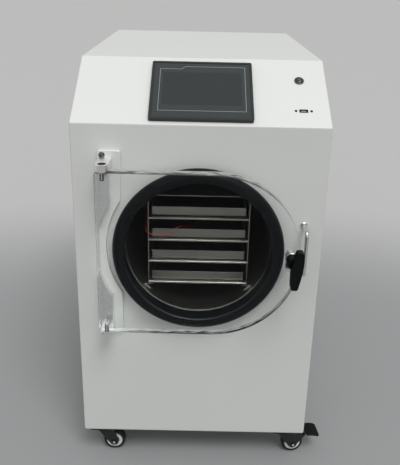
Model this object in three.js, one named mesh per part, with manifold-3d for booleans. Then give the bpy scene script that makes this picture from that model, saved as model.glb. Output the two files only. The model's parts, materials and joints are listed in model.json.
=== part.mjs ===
// Cabinet freeze dryer on castors: a cold stainless drum with a tray rack, closed by a clear door.
// Millimetres, +Z up, the door faces -Y. The model is built with the front panel at y = 0 and the floor
// at z = 0, and the finished group is moved so that its origin is the middle of its footprint.
import * as THREE from "three";
import { mergeVertices } from "three/addons/utils/BufferGeometryUtils.js";
import Module from "manifold-3d";

const wasm = await Module();
wasm.setup();

// ---------------------------------------------------------------- driving dimensions
// Cabinet
const CABINET_WIDTH = 500;
const CABINET_DEPTH = 700;
const FRONT_HEIGHT = 720; // upright front, bottom edge to fold
const FASCIA_RUN = 150; // sloping fascia, measured level
const FASCIA_RISE = 105; // sloping fascia, measured upright
const BASE_HEIGHT = 75; // floor to the underside of the cabinet
const SHEET = 2; // panel thickness
const FOLD_RADIUS = 4; // outer radius of the folded edges
const RETURN_DEPTH = 18; // width of the folded returns
const SEAM = 0.6; // visible seam between two panels
const FIT = 0.3; // clearance between pieces that touch

// Chamber
const CHAMBER_HEIGHT = 545; // drum axis above the floor
const BORE_RADIUS = 150;
const DRUM_WALL = 3;
const RIM_WIDTH = 13; // flange that carries the gasket
const RIM_PROUD = 24; // flange face in front of the panel
const REAR_BAY = 184; // behind the straight drum, for the dished end and the pipework
const DISH_DEPTH = 46;
const PORT_RADIUS = 13; // bore of the vacuum pipe
const GASKET_FACE = 8; // rubber in front of the flange
const GASKET_SKIRT = 4.2; // rubber inside the flange
const GASKET_BULGE = 7.2; // rubber outside the flange, where it is fattest
const JACKET_THICKNESS = 34;
const PANEL_HOLE_GAP = 5; // drum wall to the edge of the panel's round opening
const PIPE_STUB = 28; // vacuum pipe behind the cabinet
const PIPE_LIP = 4; // clamp flange at the pipe's end, beyond the pipe
const RAIL_SEAT = 10; // rail under the rack
const RAIL_SHEET = 2;
const RAIL_LEG = 12; // height of the rail's leg on the drum wall
const ROUND = 40; // facets round the chamber

// Tray rack
const RACK_FRONT = 30; // rack front edge behind the panel
const RACK_CLEARANCE = 6.4; // rack corner to the drum wall
const RACK_CORNER = THREE.MathUtils.degToRad(43.9); // rack corner seen from the drum axis, above level
const RACK_SHEET = 1.5;
const RACK_END_GAP = 16; // rack rear edge to the dished end
const SHELVES = 4;
const SHELF_LIP = 4.5; // folded front and rear edge of a shelf, with a little room under the lowest
const RACK_POST = 24; // upright left between the windows of a rack side
const RACK_LEDGE = 6; // rack side left above a shelf, and half of what is left below one
const RACK_WINDOWS = 2; // in a row
const TRAY_HEIGHT = 21;
const TRAY_SHEET = 0.8;
const TRAY_RIM = 2.5;
const TRAY_CORNER = 5; // radius of the rim's corners
const TRAY_PLAY = 2.4; // tray to rack side
const TRAY_SETBACK = 6; // tray behind the shelf's front edge
const TRAY_STOP = 10; // tray in front of the shelf's rear edge
const PROBE_RADIUS = 1;

// Door and hinge
const DOOR_THICKNESS = 25;
const DOOR_LAP = 7; // door beyond the flange, above and below
const DOOR_OVERHANG = 35; // door beyond the flange on the latch side
const DOOR_CORNER = 4; // chamfer of the corners at the hinge
const DOOR_ARRIS = 1; // broken edge
const PIVOT_OFFSET = 19; // flange to hinge axis
const PIVOT_EDGE = 14; // hinge axis to the door's edge
const PIN_RADIUS = 4;
const PIN_DEPTH = 16; // pin inside the door
const PIN_RECESS = 3; // pin's end below the ear's face
const PIN_SOCKET = 3; // corner radius of its hexagon socket
const UPPER_EAR = 14; // thickness of the upper hinge ear
const LOWER_EAR = 8;
const HINGE_WIDTH = 25;
const HINGE_PLATE_WIDTH = 45;
const HINGE_PLATE_MARGIN = 3; // plate left of the bracket
const HINGE_PLATE_THICKNESS = 8;
const HINGE_PLATE_REACH = 29; // plate above and below the door
const HINGE_PLATE_CORNER = 5;
const HINGE_PAD = 4;
const HINGE_PAD_CORNER = 3;
const HINGE_RELIEF = 20.5; // plate's round cut beyond the flange
const HINGE_BAND = 17; // plate left bare between its round cut and the pad's

// Latch
const LATCH_EDGE = 18; // spindle to the door's outermost edge
const SPINDLE_RAISE = 4; // spindle above the drum axis
const SPINDLE_RADIUS = 5;
const BUSH_WALL = 5; // round the spindle
const BUSH_FLANGE = 2.5; // beyond the sleeve
const BUSH_FLANGE_THICKNESS = 2;
const HUB_RADIUS = 11;
const HUB_LENGTH = 18;
const LEVER_LENGTH = 78.5;
const LEVER_WIDTH = 21; // in the middle
const LEVER_END_WIDTH = 15;
const LEVER_THICKNESS = 16;
const LEVER_RISE = 29.5; // lever's upper end above the spindle
const LEVER_LEAN = 7; // lever's middle beside the spindle
const LEVER_SWEEP = 3.6; // its ends lean this far to either side
const LEVER_CORNER = 5.3; // how far the rounding of its ends runs
const LEVER_EDGE = 2.5; // moulded edge radius
const TONGUE_LENGTH = 38;
const TONGUE_WIDTH = 16;
const TONGUE_THICKNESS = 5;
const TONGUE_NUT = { radius: 8, height: 5 };
const KEEPER_ROD = 4; // radius of the keeper's rod
const KEEPER_GAP = 8; // door's edge to the keeper
const KEEPER_PROUD = 2; // rod's near side in front of the tongue's path
const KEEPER_BEND = 9;
const KEEPER_TAIL = 10; // rod behind the panel
const KEEPER_HEIGHT = 101;
const KEEPER_RAISE = -1.5; // keeper's middle above the spindle

// Controls on the fascia, in its own frame: x to the right, y up the slope from the fold
const PANEL_PC = {
  width: 201, height: 155, start: 8, bezel: 8, body: 32, radius: 6, edge: 1.5, rim: 4, lap: 6, recess: 1.6,
  glass: 1,
};
const BUTTON = { x: 195, y: 122, radius: 9.5, barrel: 8, cap: 6, proud: 3, depth: 22, nut: 11.5, stroke: 14 };
const USB = { x: 197.5, y: 41.5, width: 16.5, height: 7.6, wall: 1, proud: 0.8, depth: 16, flange: 10 };

// Castors
const WHEEL_RADIUS = 25;
const WHEEL_WIDTH = 20;
const WHEEL_SIDES = 16; // flat facets of the tread, one of them on the floor
const CASTOR_TRAIL = 22;
const CASTOR_PLATE = 60;
const CASTOR_PLATE_SHEET = 2.5;
const RACE_HEIGHT = 8;
const RACE_GAP = 0.4; // race to the fork's crown
const CASTOR_INSET_X = 42;
const CASTOR_INSET_Y = 32;
const BRAKED_ANGLE = 7; // degrees, how far a braked castor has swung

// ---------------------------------------------------------------- worked-out sizes
const FOLD_Z = BASE_HEIGHT + FRONT_HEIGHT;
const TOP_Z = FOLD_Z + FASCIA_RISE;
const FASCIA_ANGLE = Math.atan2(FASCIA_RISE, FASCIA_RUN);
const FLOOR_Z = BASE_HEIGHT + SHEET; // upper face of the base pan
const DRUM_RADIUS = BORE_RADIUS + DRUM_WALL;
const DRUM_END = CABINET_DEPTH - REAR_BAY; // where the straight drum stops
const RIM_RADIUS = BORE_RADIUS + RIM_WIDTH;
const GASKET_RADIUS = RIM_RADIUS + FIT + GASKET_BULGE;
const GASKET_FRONT = RIM_PROUD + FIT + GASKET_FACE;
const JACKET_BORE = DRUM_RADIUS + FIT;
const JACKET_RADIUS = JACKET_BORE + JACKET_THICKNESS;
const RACK_HALF_WIDTH = (BORE_RADIUS - RACK_CLEARANCE) * Math.cos(RACK_CORNER);
const RACK_HALF_HEIGHT = (BORE_RADIUS - RACK_CLEARANCE) * Math.sin(RACK_CORNER);
const RACK_LENGTH = DRUM_END - RACK_END_GAP - RACK_FRONT;
const SHELF_PITCH = (2 * RACK_HALF_HEIGHT - SHELF_LIP) / SHELVES;
const DOOR_RADIUS = RIM_RADIUS + DOOR_LAP;
const DOOR_BACK = GASKET_FRONT + FIT; // door's rear face in front of the panel
const PIVOT_X = -(RIM_RADIUS + PIVOT_OFFSET);
const PIVOT_Y = -(DOOR_BACK + DOOR_THICKNESS / 2);
const HINGE_CUT_RADIUS = RIM_RADIUS + HINGE_RELIEF; // round cut of the hinge plate
const DOOR_EDGE_X = RIM_RADIUS + DOOR_OVERHANG;
const SPINDLE_X = DOOR_EDGE_X - LATCH_EDGE;
const SPINDLE_Z = CHAMBER_HEIGHT + SPINDLE_RAISE;
const BUSH_SLEEVE = SPINDLE_RADIUS + BUSH_WALL;
const KEEPER_X = DOOR_EDGE_X + KEEPER_GAP + KEEPER_ROD;
const KEEPER_Y = -(DOOR_BACK + KEEPER_ROD + KEEPER_PROUD);
const KEEPER_Z = SPINDLE_Z + KEEPER_RAISE;

// ---------------------------------------------------------------- finishes
const finish = (color, roughness, metalness) =>
  new THREE.MeshStandardMaterial({ color, roughness, metalness, flatShading: true });
const WHITE_PAINT = finish(0xdfe3e1, 0.45, 0);
const STAINLESS = finish(0xa9a9a4, 0.35, 1);
const BRIGHT_STEEL = finish(0xc9ccce, 0.2, 1);
const BLACK_PLASTIC = finish(0x14171a, 0.4, 0);
const BLACK_STEEL = finish(0x1c1e20, 0.45, 0.4);
const BLACK_RUBBER = finish(0x1a1d1e, 0.8, 0);
const TYRE = finish(0x17191b, 0.7, 0);
const CLEAR_ACRYLIC = new THREE.MeshStandardMaterial({
  color: 0xdfe8e6, roughness: 0.05, metalness: 0, transparent: true, opacity: 0.35,
});
const SCREEN = finish(0x3c4244, 0.2, 0);
const FOAM = finish(0x2b2d2f, 0.95, 0);
const GALVANISED = finish(0x9da3a6, 0.5, 0.8);
const RED_SLEEVE = finish(0xa8392f, 0.5, 0);

// ---------------------------------------------------------------- solids from geometry
/** A closed three.js geometry as a solid that can be joined and cut. */
function solid(geometry) {
  const bare = geometry.clone();
  bare.deleteAttribute("normal");
  bare.deleteAttribute("uv");
  const merged = mergeVertices(bare, 1e-3);
  const points = merged.attributes.position.array;
  const triangles = [];
  const corners = merged.index.array;
  const point = (i) => new THREE.Vector3().fromArray(points, 3 * i);
  let volume = 0;
  for (let i = 0; i < corners.length; i += 3) {
    const [a, b, c] = corners.slice(i, i + 3);
    if (a === b || b === c || c === a) continue;
    triangles.push([a, b, c]);
    volume += point(a).dot(point(b).cross(point(c)));
  }
  if (volume < 0) triangles.forEach((t) => t.reverse());
  const mesh = new wasm.Mesh({
    numProp: 3,
    vertProperties: new Float32Array(points),
    triVerts: new Uint32Array(triangles.flat()),
  });
  return new wasm.Manifold(mesh);
}

/** A solid back as a three.js geometry. */
function geometryOf(body) {
  const mesh = body.getMesh();
  const geometry = new THREE.BufferGeometry();
  geometry.setAttribute("position", new THREE.BufferAttribute(new Float32Array(mesh.vertProperties), 3));
  geometry.setIndex(Array.from(mesh.triVerts));
  geometry.computeVertexNormals();
  return geometry;
}

const join = (first, ...others) => others.reduce((body, other) => body.add(other), first);
const cut = (first, ...others) => others.reduce((body, other) => body.subtract(other), first);

/** Adds one named piece to a group. */
function piece(group, name, body, material) {
  const mesh = new THREE.Mesh(geometryOf(body), material);
  mesh.name = name;
  group.add(mesh);
  return mesh;
}

/** A group set at a place in its parent. */
function groupAt(parent, x, y, z) {
  const group = new THREE.Group();
  group.position.set(x, y, z);
  parent.add(group);
  return group;
}

// ---------------------------------------------------------------- outlines and sweeps
/** A closed outline through corners, each rounded by a radius. */
function roundedOutline(corners, radius) {
  const shape = new THREE.Shape();
  const count = corners.length;
  corners.forEach(([x, y], i) => {
    const here = new THREE.Vector2(x, y);
    const before = new THREE.Vector2(...corners[(i + count - 1) % count]).sub(here).normalize();
    const after = new THREE.Vector2(...corners[(i + 1) % count]).sub(here).normalize();
    const half = Math.acos(THREE.MathUtils.clamp(before.dot(after), -1, 1)) / 2;
    const reach = radius / Math.tan(half);
    const start = here.clone().addScaledVector(before, reach);
    const end = here.clone().addScaledVector(after, reach);
    const middle = before.clone().add(after).normalize().multiplyScalar(radius / Math.sin(half)).add(here);
    const clockwise = before.cross(after) > 0;
    if (i === 0) shape.moveTo(start.x, start.y);
    else shape.lineTo(start.x, start.y);
    const from = Math.atan2(start.y - middle.y, start.x - middle.x);
    const to = Math.atan2(end.y - middle.y, end.x - middle.x);
    shape.absarc(middle.x, middle.y, radius, from, to, clockwise);
  });
  shape.closePath();
  return shape;
}

/** A plain closed outline. */
const outline = (corners) => new THREE.Shape(corners.map(([x, y]) => new THREE.Vector2(x, y)));

/** Corners of an upright rectangle. */
const rectangle = (x0, y0, x1, y1) => [[x0, y0], [x1, y0], [x1, y1], [x0, y1]];

const ALONG_X = new THREE.Matrix4().makeBasis(
  new THREE.Vector3(0, 1, 0), new THREE.Vector3(0, 0, 1), new THREE.Vector3(1, 0, 0));
const ALONG_Y = new THREE.Matrix4().makeBasis(
  new THREE.Vector3(1, 0, 0), new THREE.Vector3(0, 0, 1), new THREE.Vector3(0, -1, 0));

/** Extrudes an outline over a length, with an optional rounded edge of the given size. */
function prism(shape, length, edge = 0, steps = 2, curveSegments = 2) {
  return new THREE.ExtrudeGeometry(shape, {
    depth: length - 2 * edge,
    bevelEnabled: edge > 0,
    bevelThickness: edge,
    bevelSize: edge,
    bevelOffset: -edge,
    bevelSegments: steps,
    curveSegments,
  }).translate(0, 0, edge);
}

/** An outline drawn in (y, z), extruded from x0 to x1. */
const alongX = (shape, x0, x1, edge, steps, segments) =>
  solid(prism(shape, x1 - x0, edge, steps, segments).applyMatrix4(ALONG_X).translate(x0, 0, 0));

/** An outline drawn in (x, z), extruded from y0 to y1. */
const alongY = (shape, y0, y1, edge, steps, segments) =>
  solid(prism(shape, y1 - y0, edge, steps, segments).applyMatrix4(ALONG_Y).translate(0, y1, 0));

/** An outline drawn in (x, y), extruded from z0 to z1. */
const alongZ = (shape, z0, z1, edge, steps, segments) =>
  solid(prism(shape, z1 - z0, edge, steps, segments).translate(0, 0, z0));

/** A profile of (radius, along) points turned about the Y axis. */
function turned(profile, segments = ROUND) {
  const points = profile.map(([radius, along]) => new THREE.Vector2(radius, along));
  const first = points[0];
  if (first.x > 0) points.push(first.clone());
  return solid(new THREE.LatheGeometry(points, segments));
}

/** A round bar along Y between two places, centred on (x, z). */
function barY(radius, y0, y1, x = 0, z = 0, segments = 16) {
  const bar = new THREE.CylinderGeometry(radius, radius, y1 - y0, segments);
  return solid(bar.translate(x, (y0 + y1) / 2, z));
}

/** A round bar along Z between two heights, centred on (x, y). */
function barZ(radius, z0, z1, x = 0, y = 0, segments = 16) {
  const bar = new THREE.CylinderGeometry(radius, radius, z1 - z0, segments).rotateX(Math.PI / 2);
  return solid(bar.translate(x, y, (z0 + z1) / 2));
}

/** A block between two corners. */
function block(x0, y0, z0, x1, y1, z1) {
  const box = new THREE.BoxGeometry(x1 - x0, y1 - y0, z1 - z0);
  return solid(box.translate((x0 + x1) / 2, (y0 + y1) / 2, (z0 + z1) / 2));
}

/** A round section swept along a curve. */
function swept(curve, radius, steps, sides) {
  const section = new THREE.Shape();
  for (let i = 0; i < sides; i += 1) {
    const angle = (2 * Math.PI * i) / sides;
    const x = radius * Math.cos(angle);
    const y = radius * Math.sin(angle);
    if (i === 0) section.moveTo(x, y);
    else section.lineTo(x, y);
  }
  section.closePath();
  return solid(new THREE.ExtrudeGeometry(section, { steps, extrudePath: curve, bevelEnabled: false }));
}

/** The fascia's own frame: x to the right, y up the slope from the fold, z out of it. */
const FASCIA_FRAME = new THREE.Matrix4().makeRotationX(FASCIA_ANGLE).setPosition(0, 0, FOLD_Z);

/** An outline drawn on the fascia, extruded through it as a cutter in the cabinet's frame. */
const throughFascia = (shape) =>
  solid(prism(shape, 20 * SHEET).translate(0, 0, -10 * SHEET).applyMatrix4(FASCIA_FRAME));

/** A regular outline that stands for a circle. */
function disc(radius, x = 0, y = 0, sides = 24) {
  const corners = [];
  for (let i = 0; i < sides; i += 1) {
    const angle = (2 * Math.PI * (i + 0.5)) / sides;
    corners.push([x + radius * Math.cos(angle), y + radius * Math.sin(angle)]);
  }
  return outline(corners);
}

// ---------------------------------------------------------------- cabinet panels
/** Corners of the cabinet's side view in (y, z), moved inwards by an inset. */
function sideView(inset) {
  const slope = inset / Math.cos(FASCIA_ANGLE);
  const rise = Math.tan(FASCIA_ANGLE);
  const top = TOP_Z - inset;
  const foldZ = FOLD_Z + inset * rise - slope;
  return [
    [inset, BASE_HEIGHT + inset],
    [CABINET_DEPTH - inset, BASE_HEIGHT + inset],
    [CABINET_DEPTH - inset, top],
    [(top - FOLD_Z + slope) / rise, top],
    [inset, foldZ],
  ];
}

/** The whole cabinet as one block with rounded edges, moved inwards by an inset. */
function cabinetBlock(inset) {
  const radius = FOLD_RADIUS - inset;
  const half = CABINET_WIDTH / 2 - inset;
  return alongX(roundedOutline(sideView(inset), radius), -half, half, radius, 2, 1);
}

const shell = cut(cabinetBlock(0), cabinetBlock(SHEET));
const REACH = 40; // how far a cutting region runs past the cabinet
const acrossCabinet = (corners) =>
  alongX(outline(corners), -CABINET_WIDTH / 2 - REACH, CABINET_WIDTH / 2 + REACH);

/** The strip behind the front and the fascia, as deep as a folded return. */
function frontRegion(depth) {
  const inner = sideView(depth);
  const crest = FASCIA_RUN - SEAM / 2;
  const innerCrest = inner[4][1] + (crest - inner[4][0]) * Math.tan(FASCIA_ANGLE);
  return acrossCabinet([
    [-REACH, BASE_HEIGHT - REACH], [inner[0][0], BASE_HEIGHT - REACH], inner[4],
    [crest, innerCrest], [crest, TOP_Z + REACH], [-REACH, TOP_Z + REACH],
  ]);
}

/** Upright front with its round opening, folded back into the sloping fascia. */
function frontPanel() {
  const { width, height, start, lap } = PANEL_PC;
  const window = rectangle(lap - width / 2, start + lap, width / 2 - lap, start + height - lap);
  const usb = rectangle(USB.x - USB.width / 2 - FIT, USB.y - USB.height / 2 - FIT,
    USB.x + USB.width / 2 + FIT, USB.y + USB.height / 2 + FIT);
  const keeperHoles = [-1, 1].map((side) =>
    barY(KEEPER_ROD + FIT, -REACH, REACH, KEEPER_X, KEEPER_Z + side * (KEEPER_HEIGHT / 2 - KEEPER_ROD)));
  return cut(
    shell.intersect(frontRegion(RETURN_DEPTH)),
    barY(DRUM_RADIUS + PANEL_HOLE_GAP, -REACH, REACH, 0, CHAMBER_HEIGHT, ROUND),
    throughFascia(outline(window)),
    throughFascia(disc(BUTTON.barrel + FIT, BUTTON.x, BUTTON.y)),
    throughFascia(outline(usb)),
    ...keeperHoles,
  );
}

/** Lid with its edges turned down over the sides and the rear. */
const topCover = () => shell.intersect(acrossCabinet(
  rectangle(FASCIA_RUN + SEAM / 2, TOP_Z - RETURN_DEPTH, CABINET_DEPTH + REACH, TOP_Z + REACH)));

/** Base pan with its edges turned up inside the side panels. */
const basePan = () => shell.intersect(acrossCabinet(
  rectangle(RETURN_DEPTH + SEAM, BASE_HEIGHT - REACH,
    CABINET_DEPTH - RETURN_DEPTH - SEAM, BASE_HEIGHT + RETURN_DEPTH)));

const FAN = { radius: 72, x: 110, z: BASE_HEIGHT + 125, slots: 9, slot: 7 };
const INLET = {
  width: 27, height: 20, x: -170, z: BASE_HEIGHT + 60, flange: 50, lap: 2, depth: 16, well: 12, wall: 2,
};
const PIPE_SIDES = 16; // facets of the pipe's hole

/** Rear panel with the fan's slots, the mains inlet's cut-out and the vacuum pipe's hole. */
function rearPanel() {
  const region = acrossCabinet(rectangle(CABINET_DEPTH - RETURN_DEPTH, BASE_HEIGHT - REACH,
    CABINET_DEPTH + REACH, TOP_Z - RETURN_DEPTH - SEAM));
  const y0 = CABINET_DEPTH - 2 * SHEET;
  const y1 = CABINET_DEPTH + SHEET;
  const pitch = (2 * FAN.radius) / FAN.slots;
  const slots = [];
  for (let i = 0; i < FAN.slots; i += 1) {
    const z = (i + 0.5) * pitch - FAN.radius;
    const half = Math.sqrt(FAN.radius ** 2 - z ** 2);
    const bar = rectangle(FAN.x - half, FAN.z + z - FAN.slot / 2, FAN.x + half, FAN.z + z + FAN.slot / 2);
    slots.push(alongY(outline(bar), y0, y1));
  }
  const inlet = rectangle(INLET.x - INLET.width / 2 - FIT, INLET.z - INLET.height / 2 - FIT,
    INLET.x + INLET.width / 2 + FIT, INLET.z + INLET.height / 2 + FIT);
  return cut(shell.intersect(region), ...slots, alongY(outline(inlet), y0, y1),
    barY((PORT_RADIUS + DRUM_WALL + FIT) / Math.cos(Math.PI / PIPE_SIDES), y0, y1, 0, CHAMBER_HEIGHT,
      PIPE_SIDES));
}

const LOUVRE = {
  count: 7, length: 150, height: 9, proud: 4, pitch: 20, z: BASE_HEIGHT + 60, rear: 30, skin: 1.4, hood: 3,
  lip: 1, root: 0.5,
};

/** Side panel: flat sheet between the other panels' returns, with a column of pressed louvres. */
function sidePanel(side) {
  const band = RETURN_DEPTH + SEAM;
  const inner = sideView(band);
  const top = TOP_Z - band;
  const corners = [
    [band, BASE_HEIGHT + band], [CABINET_DEPTH - band, BASE_HEIGHT + band],
    [CABINET_DEPTH - band, top], inner[3], inner[4],
  ];
  const half = CABINET_WIDTH / 2;
  const [x0, x1] = side < 0 ? [-half - REACH, -half + 2 * SHEET] : [half - 2 * SHEET, half + REACH];
  let panel = shell.intersect(alongX(outline(corners), x0, x1));
  const y1 = CABINET_DEPTH - 2 * RETURN_DEPTH - LOUVRE.rear;
  const y0 = y1 - LOUVRE.length;
  for (let i = 0; i < LOUVRE.count; i += 1) {
    const z = LOUVRE.z + i * LOUVRE.pitch;
    const face = side * half;
    const out = (amount) => face + side * amount;
    const crest = z + LOUVRE.height;
    const ceiling = crest - LOUVRE.hood;
    const mouth = z - LOUVRE.lip;
    const hood = [[out(-LOUVRE.root), crest], [face, crest], [out(LOUVRE.proud), z], [out(-LOUVRE.root), z]];
    const hollow = [[out(-3 * SHEET), ceiling], [face, ceiling], [out(LOUVRE.proud - LOUVRE.skin), mouth],
      [out(-3 * SHEET), mouth]];
    panel = join(panel, alongY(outline(hood), y0, y1));
    panel = cut(panel, alongY(outline(hollow), y0 + LOUVRE.skin, y1 - LOUVRE.skin));
  }
  return panel;
}

// ---------------------------------------------------------------- chamber, about its own axis
/** Quarter-ellipse of a dished end, as (radius, along) points from the wall to the pipe. */
function dish(radius, depth, pipe, steps = 3) {
  const points = [];
  for (let i = 1; i <= steps; i += 1) {
    const angle = (i / steps) * Math.acos(pipe / radius);
    points.push([radius * Math.cos(angle), DRUM_END + depth * Math.sin(angle)]);
  }
  return points;
}

/** Angle on the drum wall that the rack stands on: a seat, and a leg that follows the wall. */
function rackRail(side) {
  const top = -RACK_HALF_HEIGHT - FIT;
  const [x0, x1] = [side * (RACK_HALF_WIDTH - RAIL_SEAT), side * BORE_RADIUS].sort((a, b) => a - b);
  const [y0, y1] = [RACK_FRONT, RACK_FRONT + RACK_LENGTH];
  const inTheWall = barY(BORE_RADIUS + RAIL_SHEET / 2, y0, y1, 0, 0, ROUND);
  const insideTheLeg = barY(BORE_RADIUS - RAIL_SHEET, y0, y1, 0, 0, ROUND);
  const underTheSeat = block(x0 - RAIL_SHEET, y0, top - RAIL_LEG, x1, y1, top - RAIL_SHEET);
  return cut(
    block(x0, y0, top - RAIL_LEG, x1, y1, top).intersect(inTheWall),
    underTheSeat.intersect(insideTheLeg),
  );
}

/** Stainless drum: flange, straight wall, dished end and the vacuum pipe with its clamp flange. */
function chamberDrum() {
  const pipe = PORT_RADIUS + DRUM_WALL;
  const pipeEnd = CABINET_DEPTH + PIPE_STUB;
  const body = turned([
    [BORE_RADIUS, -RIM_PROUD],
    [RIM_RADIUS, -RIM_PROUD],
    [RIM_RADIUS, DRUM_WALL - RIM_PROUD],
    [DRUM_RADIUS, DRUM_WALL - RIM_PROUD],
    [DRUM_RADIUS, DRUM_END],
    ...dish(DRUM_RADIUS, DISH_DEPTH + DRUM_WALL, pipe),
    [pipe, pipeEnd - PIPE_LIP],
    [pipe + PIPE_LIP, pipeEnd],
    [PORT_RADIUS, pipeEnd],
    ...dish(BORE_RADIUS, DISH_DEPTH, PORT_RADIUS).reverse(),
    [BORE_RADIUS, DRUM_END],
  ]);
  return join(body, rackRail(-1), rackRail(1));
}

/** Fat rubber ring pressed over the drum's flange, round outside and flat where the door meets it. */
function doorGasket() {
  const back = 4; // rubber stops this far in front of the panel
  const tail = 5; // skirt inside the drum, behind the panel's face
  const corner = 3; // front corner of the skirt
  const halfDepth = (GASKET_FRONT - back) / 2;
  const middle = -back - halfDepth;
  const fullness = 12; // how far the round outside stands out from its own middle line
  const line = GASKET_RADIUS - fullness;
  const flange = RIM_RADIUS + FIT;
  const behindFlange = Math.acos((flange - line) / fullness);
  const round = [-52, -14, 24].map((degrees) => {
    const angle = THREE.MathUtils.degToRad(degrees);
    return [line + fullness * Math.cos(angle), middle + halfDepth * Math.sin(angle)];
  });
  return turned([
    [BORE_RADIUS - GASKET_SKIRT, tail],
    [BORE_RADIUS - GASKET_SKIRT, corner - GASKET_FRONT],
    [BORE_RADIUS - GASKET_SKIRT + corner, -GASKET_FRONT],
    [line, -GASKET_FRONT],
    ...round,
    [flange, middle + halfDepth * Math.sin(behindFlange)],
    [flange, -RIM_PROUD - FIT],
    [BORE_RADIUS - FIT, -RIM_PROUD - FIT],
    [BORE_RADIUS - FIT, tail],
  ]);
}

/** Foam round the drum, with the refrigerant tube cast into it. */
function insulationJacket() {
  const front = 12; // behind the panel
  return turned([
    [JACKET_BORE, front], [JACKET_RADIUS, front], [JACKET_RADIUS, DRUM_END], [JACKET_BORE, DRUM_END],
  ]);
}

/** Arch that carries the jacket on the base pan, in the cabinet's frame. */
function drumCradle(y) {
  const sheet = 3;
  const foot = JACKET_RADIUS + 20;
  const leg = 45; // width of an upright
  const shoulder = CHAMBER_HEIGHT - JACKET_RADIUS * 0.35; // how high the arch embraces the jacket
  const crown = CHAMBER_HEIGHT - JACKET_RADIUS - 55;
  const gusset = 30;
  const flange = 30; // fold on the base pan
  const bottom = FLOOR_Z + FIT;
  const inner = foot - leg;
  const arch = outline([
    [-foot, bottom], [-inner, bottom], [-inner, crown - gusset], [gusset - inner, crown],
    [inner - gusset, crown], [inner, crown - gusset], [inner, bottom], [foot, bottom],
    [foot, shoulder], [-foot, shoulder],
  ]);
  const bearer = alongY(arch, y, y + sheet);
  const feet = [-1, 1].map((side) => {
    const [x0, x1] = [side * foot, side * inner].sort((a, b) => a - b);
    return block(x0, y, bottom, x1, y + flange, bottom + sheet);
  });
  return cut(join(bearer, ...feet),
    barY(JACKET_RADIUS + FIT, y - REACH, y + REACH, 0, CHAMBER_HEIGHT, ROUND));
}

// ---------------------------------------------------------------- tray rack, about the drum axis
/** Side frame of the rack, with a pair of windows between each two shelves. */
function rackSide(side) {
  const x = [side * RACK_HALF_WIDTH, side * (RACK_HALF_WIDTH - RACK_SHEET)].sort((a, b) => a - b);
  const z = RACK_HALF_HEIGHT;
  const width = (RACK_LENGTH - RACK_POST * (RACK_WINDOWS + 1)) / RACK_WINDOWS;
  const windows = [];
  for (let level = 0; level < SHELVES; level += 1) {
    const sill = shelfTop(level) + RACK_LEDGE;
    const head = shelfTop(level + 1) - 2 * RACK_LEDGE;
    for (let i = 0; i < RACK_WINDOWS; i += 1) {
      const y = RACK_FRONT + RACK_POST + i * (width + RACK_POST);
      windows.push(block(x[0] - 1, y, sill, x[1] + 1, y + width, head));
    }
  }
  return cut(block(x[0], RACK_FRONT, -z, x[1], RACK_FRONT + RACK_LENGTH, z), ...windows);
}

/** Height of a shelf's upper face above the drum axis; level 0 is the lowest. */
function shelfTop(level) {
  return level * SHELF_PITCH + SHELF_LIP - RACK_HALF_HEIGHT;
}

const SHELF_HALF = RACK_HALF_WIDTH - RACK_SHEET - FIT; // half a shelf's width, between the sides

/** Plain sheet that closes the rack above the highest tray. */
const rackTop = () => block(-SHELF_HALF, RACK_FRONT, RACK_HALF_HEIGHT - RACK_SHEET,
  SHELF_HALF, RACK_FRONT + RACK_LENGTH, RACK_HALF_HEIGHT);

/** Shelf sheet with its front and rear edges folded down. */
function rackShelf(level) {
  const top = shelfTop(level);
  const y0 = RACK_FRONT;
  const y1 = RACK_FRONT + RACK_LENGTH;
  const lip = SHELF_LIP - 0.5;
  const t = RACK_SHEET;
  const fold = 1; // outer radius of the fold, as a chamfer
  const channel = outline([
    [y0, top - lip], [y0 + t, top - lip], [y0 + t, top - t], [y1 - t, top - t],
    [y1 - t, top - lip], [y1, top - lip], [y1, top - fold], [y1 - fold, top], [y0 + fold, top],
    [y0, top - fold],
  ]);
  return alongX(channel, -SHELF_HALF, SHELF_HALF);
}

/** Pressed tray with round corners and a turned-out rim. */
function tray(level) {
  const half = RACK_HALF_WIDTH - RACK_SHEET - TRAY_PLAY;
  const y0 = RACK_FRONT + TRAY_SETBACK;
  const y1 = RACK_FRONT + RACK_LENGTH - TRAY_STOP;
  const base = shelfTop(level) + FIT;
  const corners = (inset) => rectangle(inset - half, y0 + inset, half - inset, y1 - inset);
  const pan = (inset, radius, z0, z1) =>
    alongZ(roundedOutline(corners(inset), radius), z0, z1, 0, 1, 1);
  const inner = TRAY_RIM + TRAY_SHEET;
  const rim = pan(0, TRAY_CORNER, base + TRAY_HEIGHT - TRAY_SHEET, base + TRAY_HEIGHT);
  const tub = pan(TRAY_RIM, TRAY_CORNER - TRAY_RIM, base, base + TRAY_HEIGHT);
  const hollow = pan(inner, TRAY_CORNER - inner, base + TRAY_SHEET, base + TRAY_HEIGHT + 1);
  return cut(join(tub, rim), hollow);
}

const PROBE_RIM = shelfTop(SHELVES - 2) + FIT + TRAY_HEIGHT; // rim of the tray that the probe lies in
const PROBE_FLOOR = PROBE_RIM - TRAY_HEIGHT + TRAY_SHEET; // floor of that tray
const GLAND = { radius: 4, length: 8, y: 120, z: PROBE_RIM + 12, gap: 1.2, nut: 3, step: 1.5 };
GLAND.x = GLAND.length + GLAND.gap - Math.sqrt(BORE_RADIUS ** 2 - (GLAND.z + GLAND.radius) ** 2);
const TIP = { radius: 2, length: 14, x: -2, y: RACK_FRONT + 132, nose: 1.5 };

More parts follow.
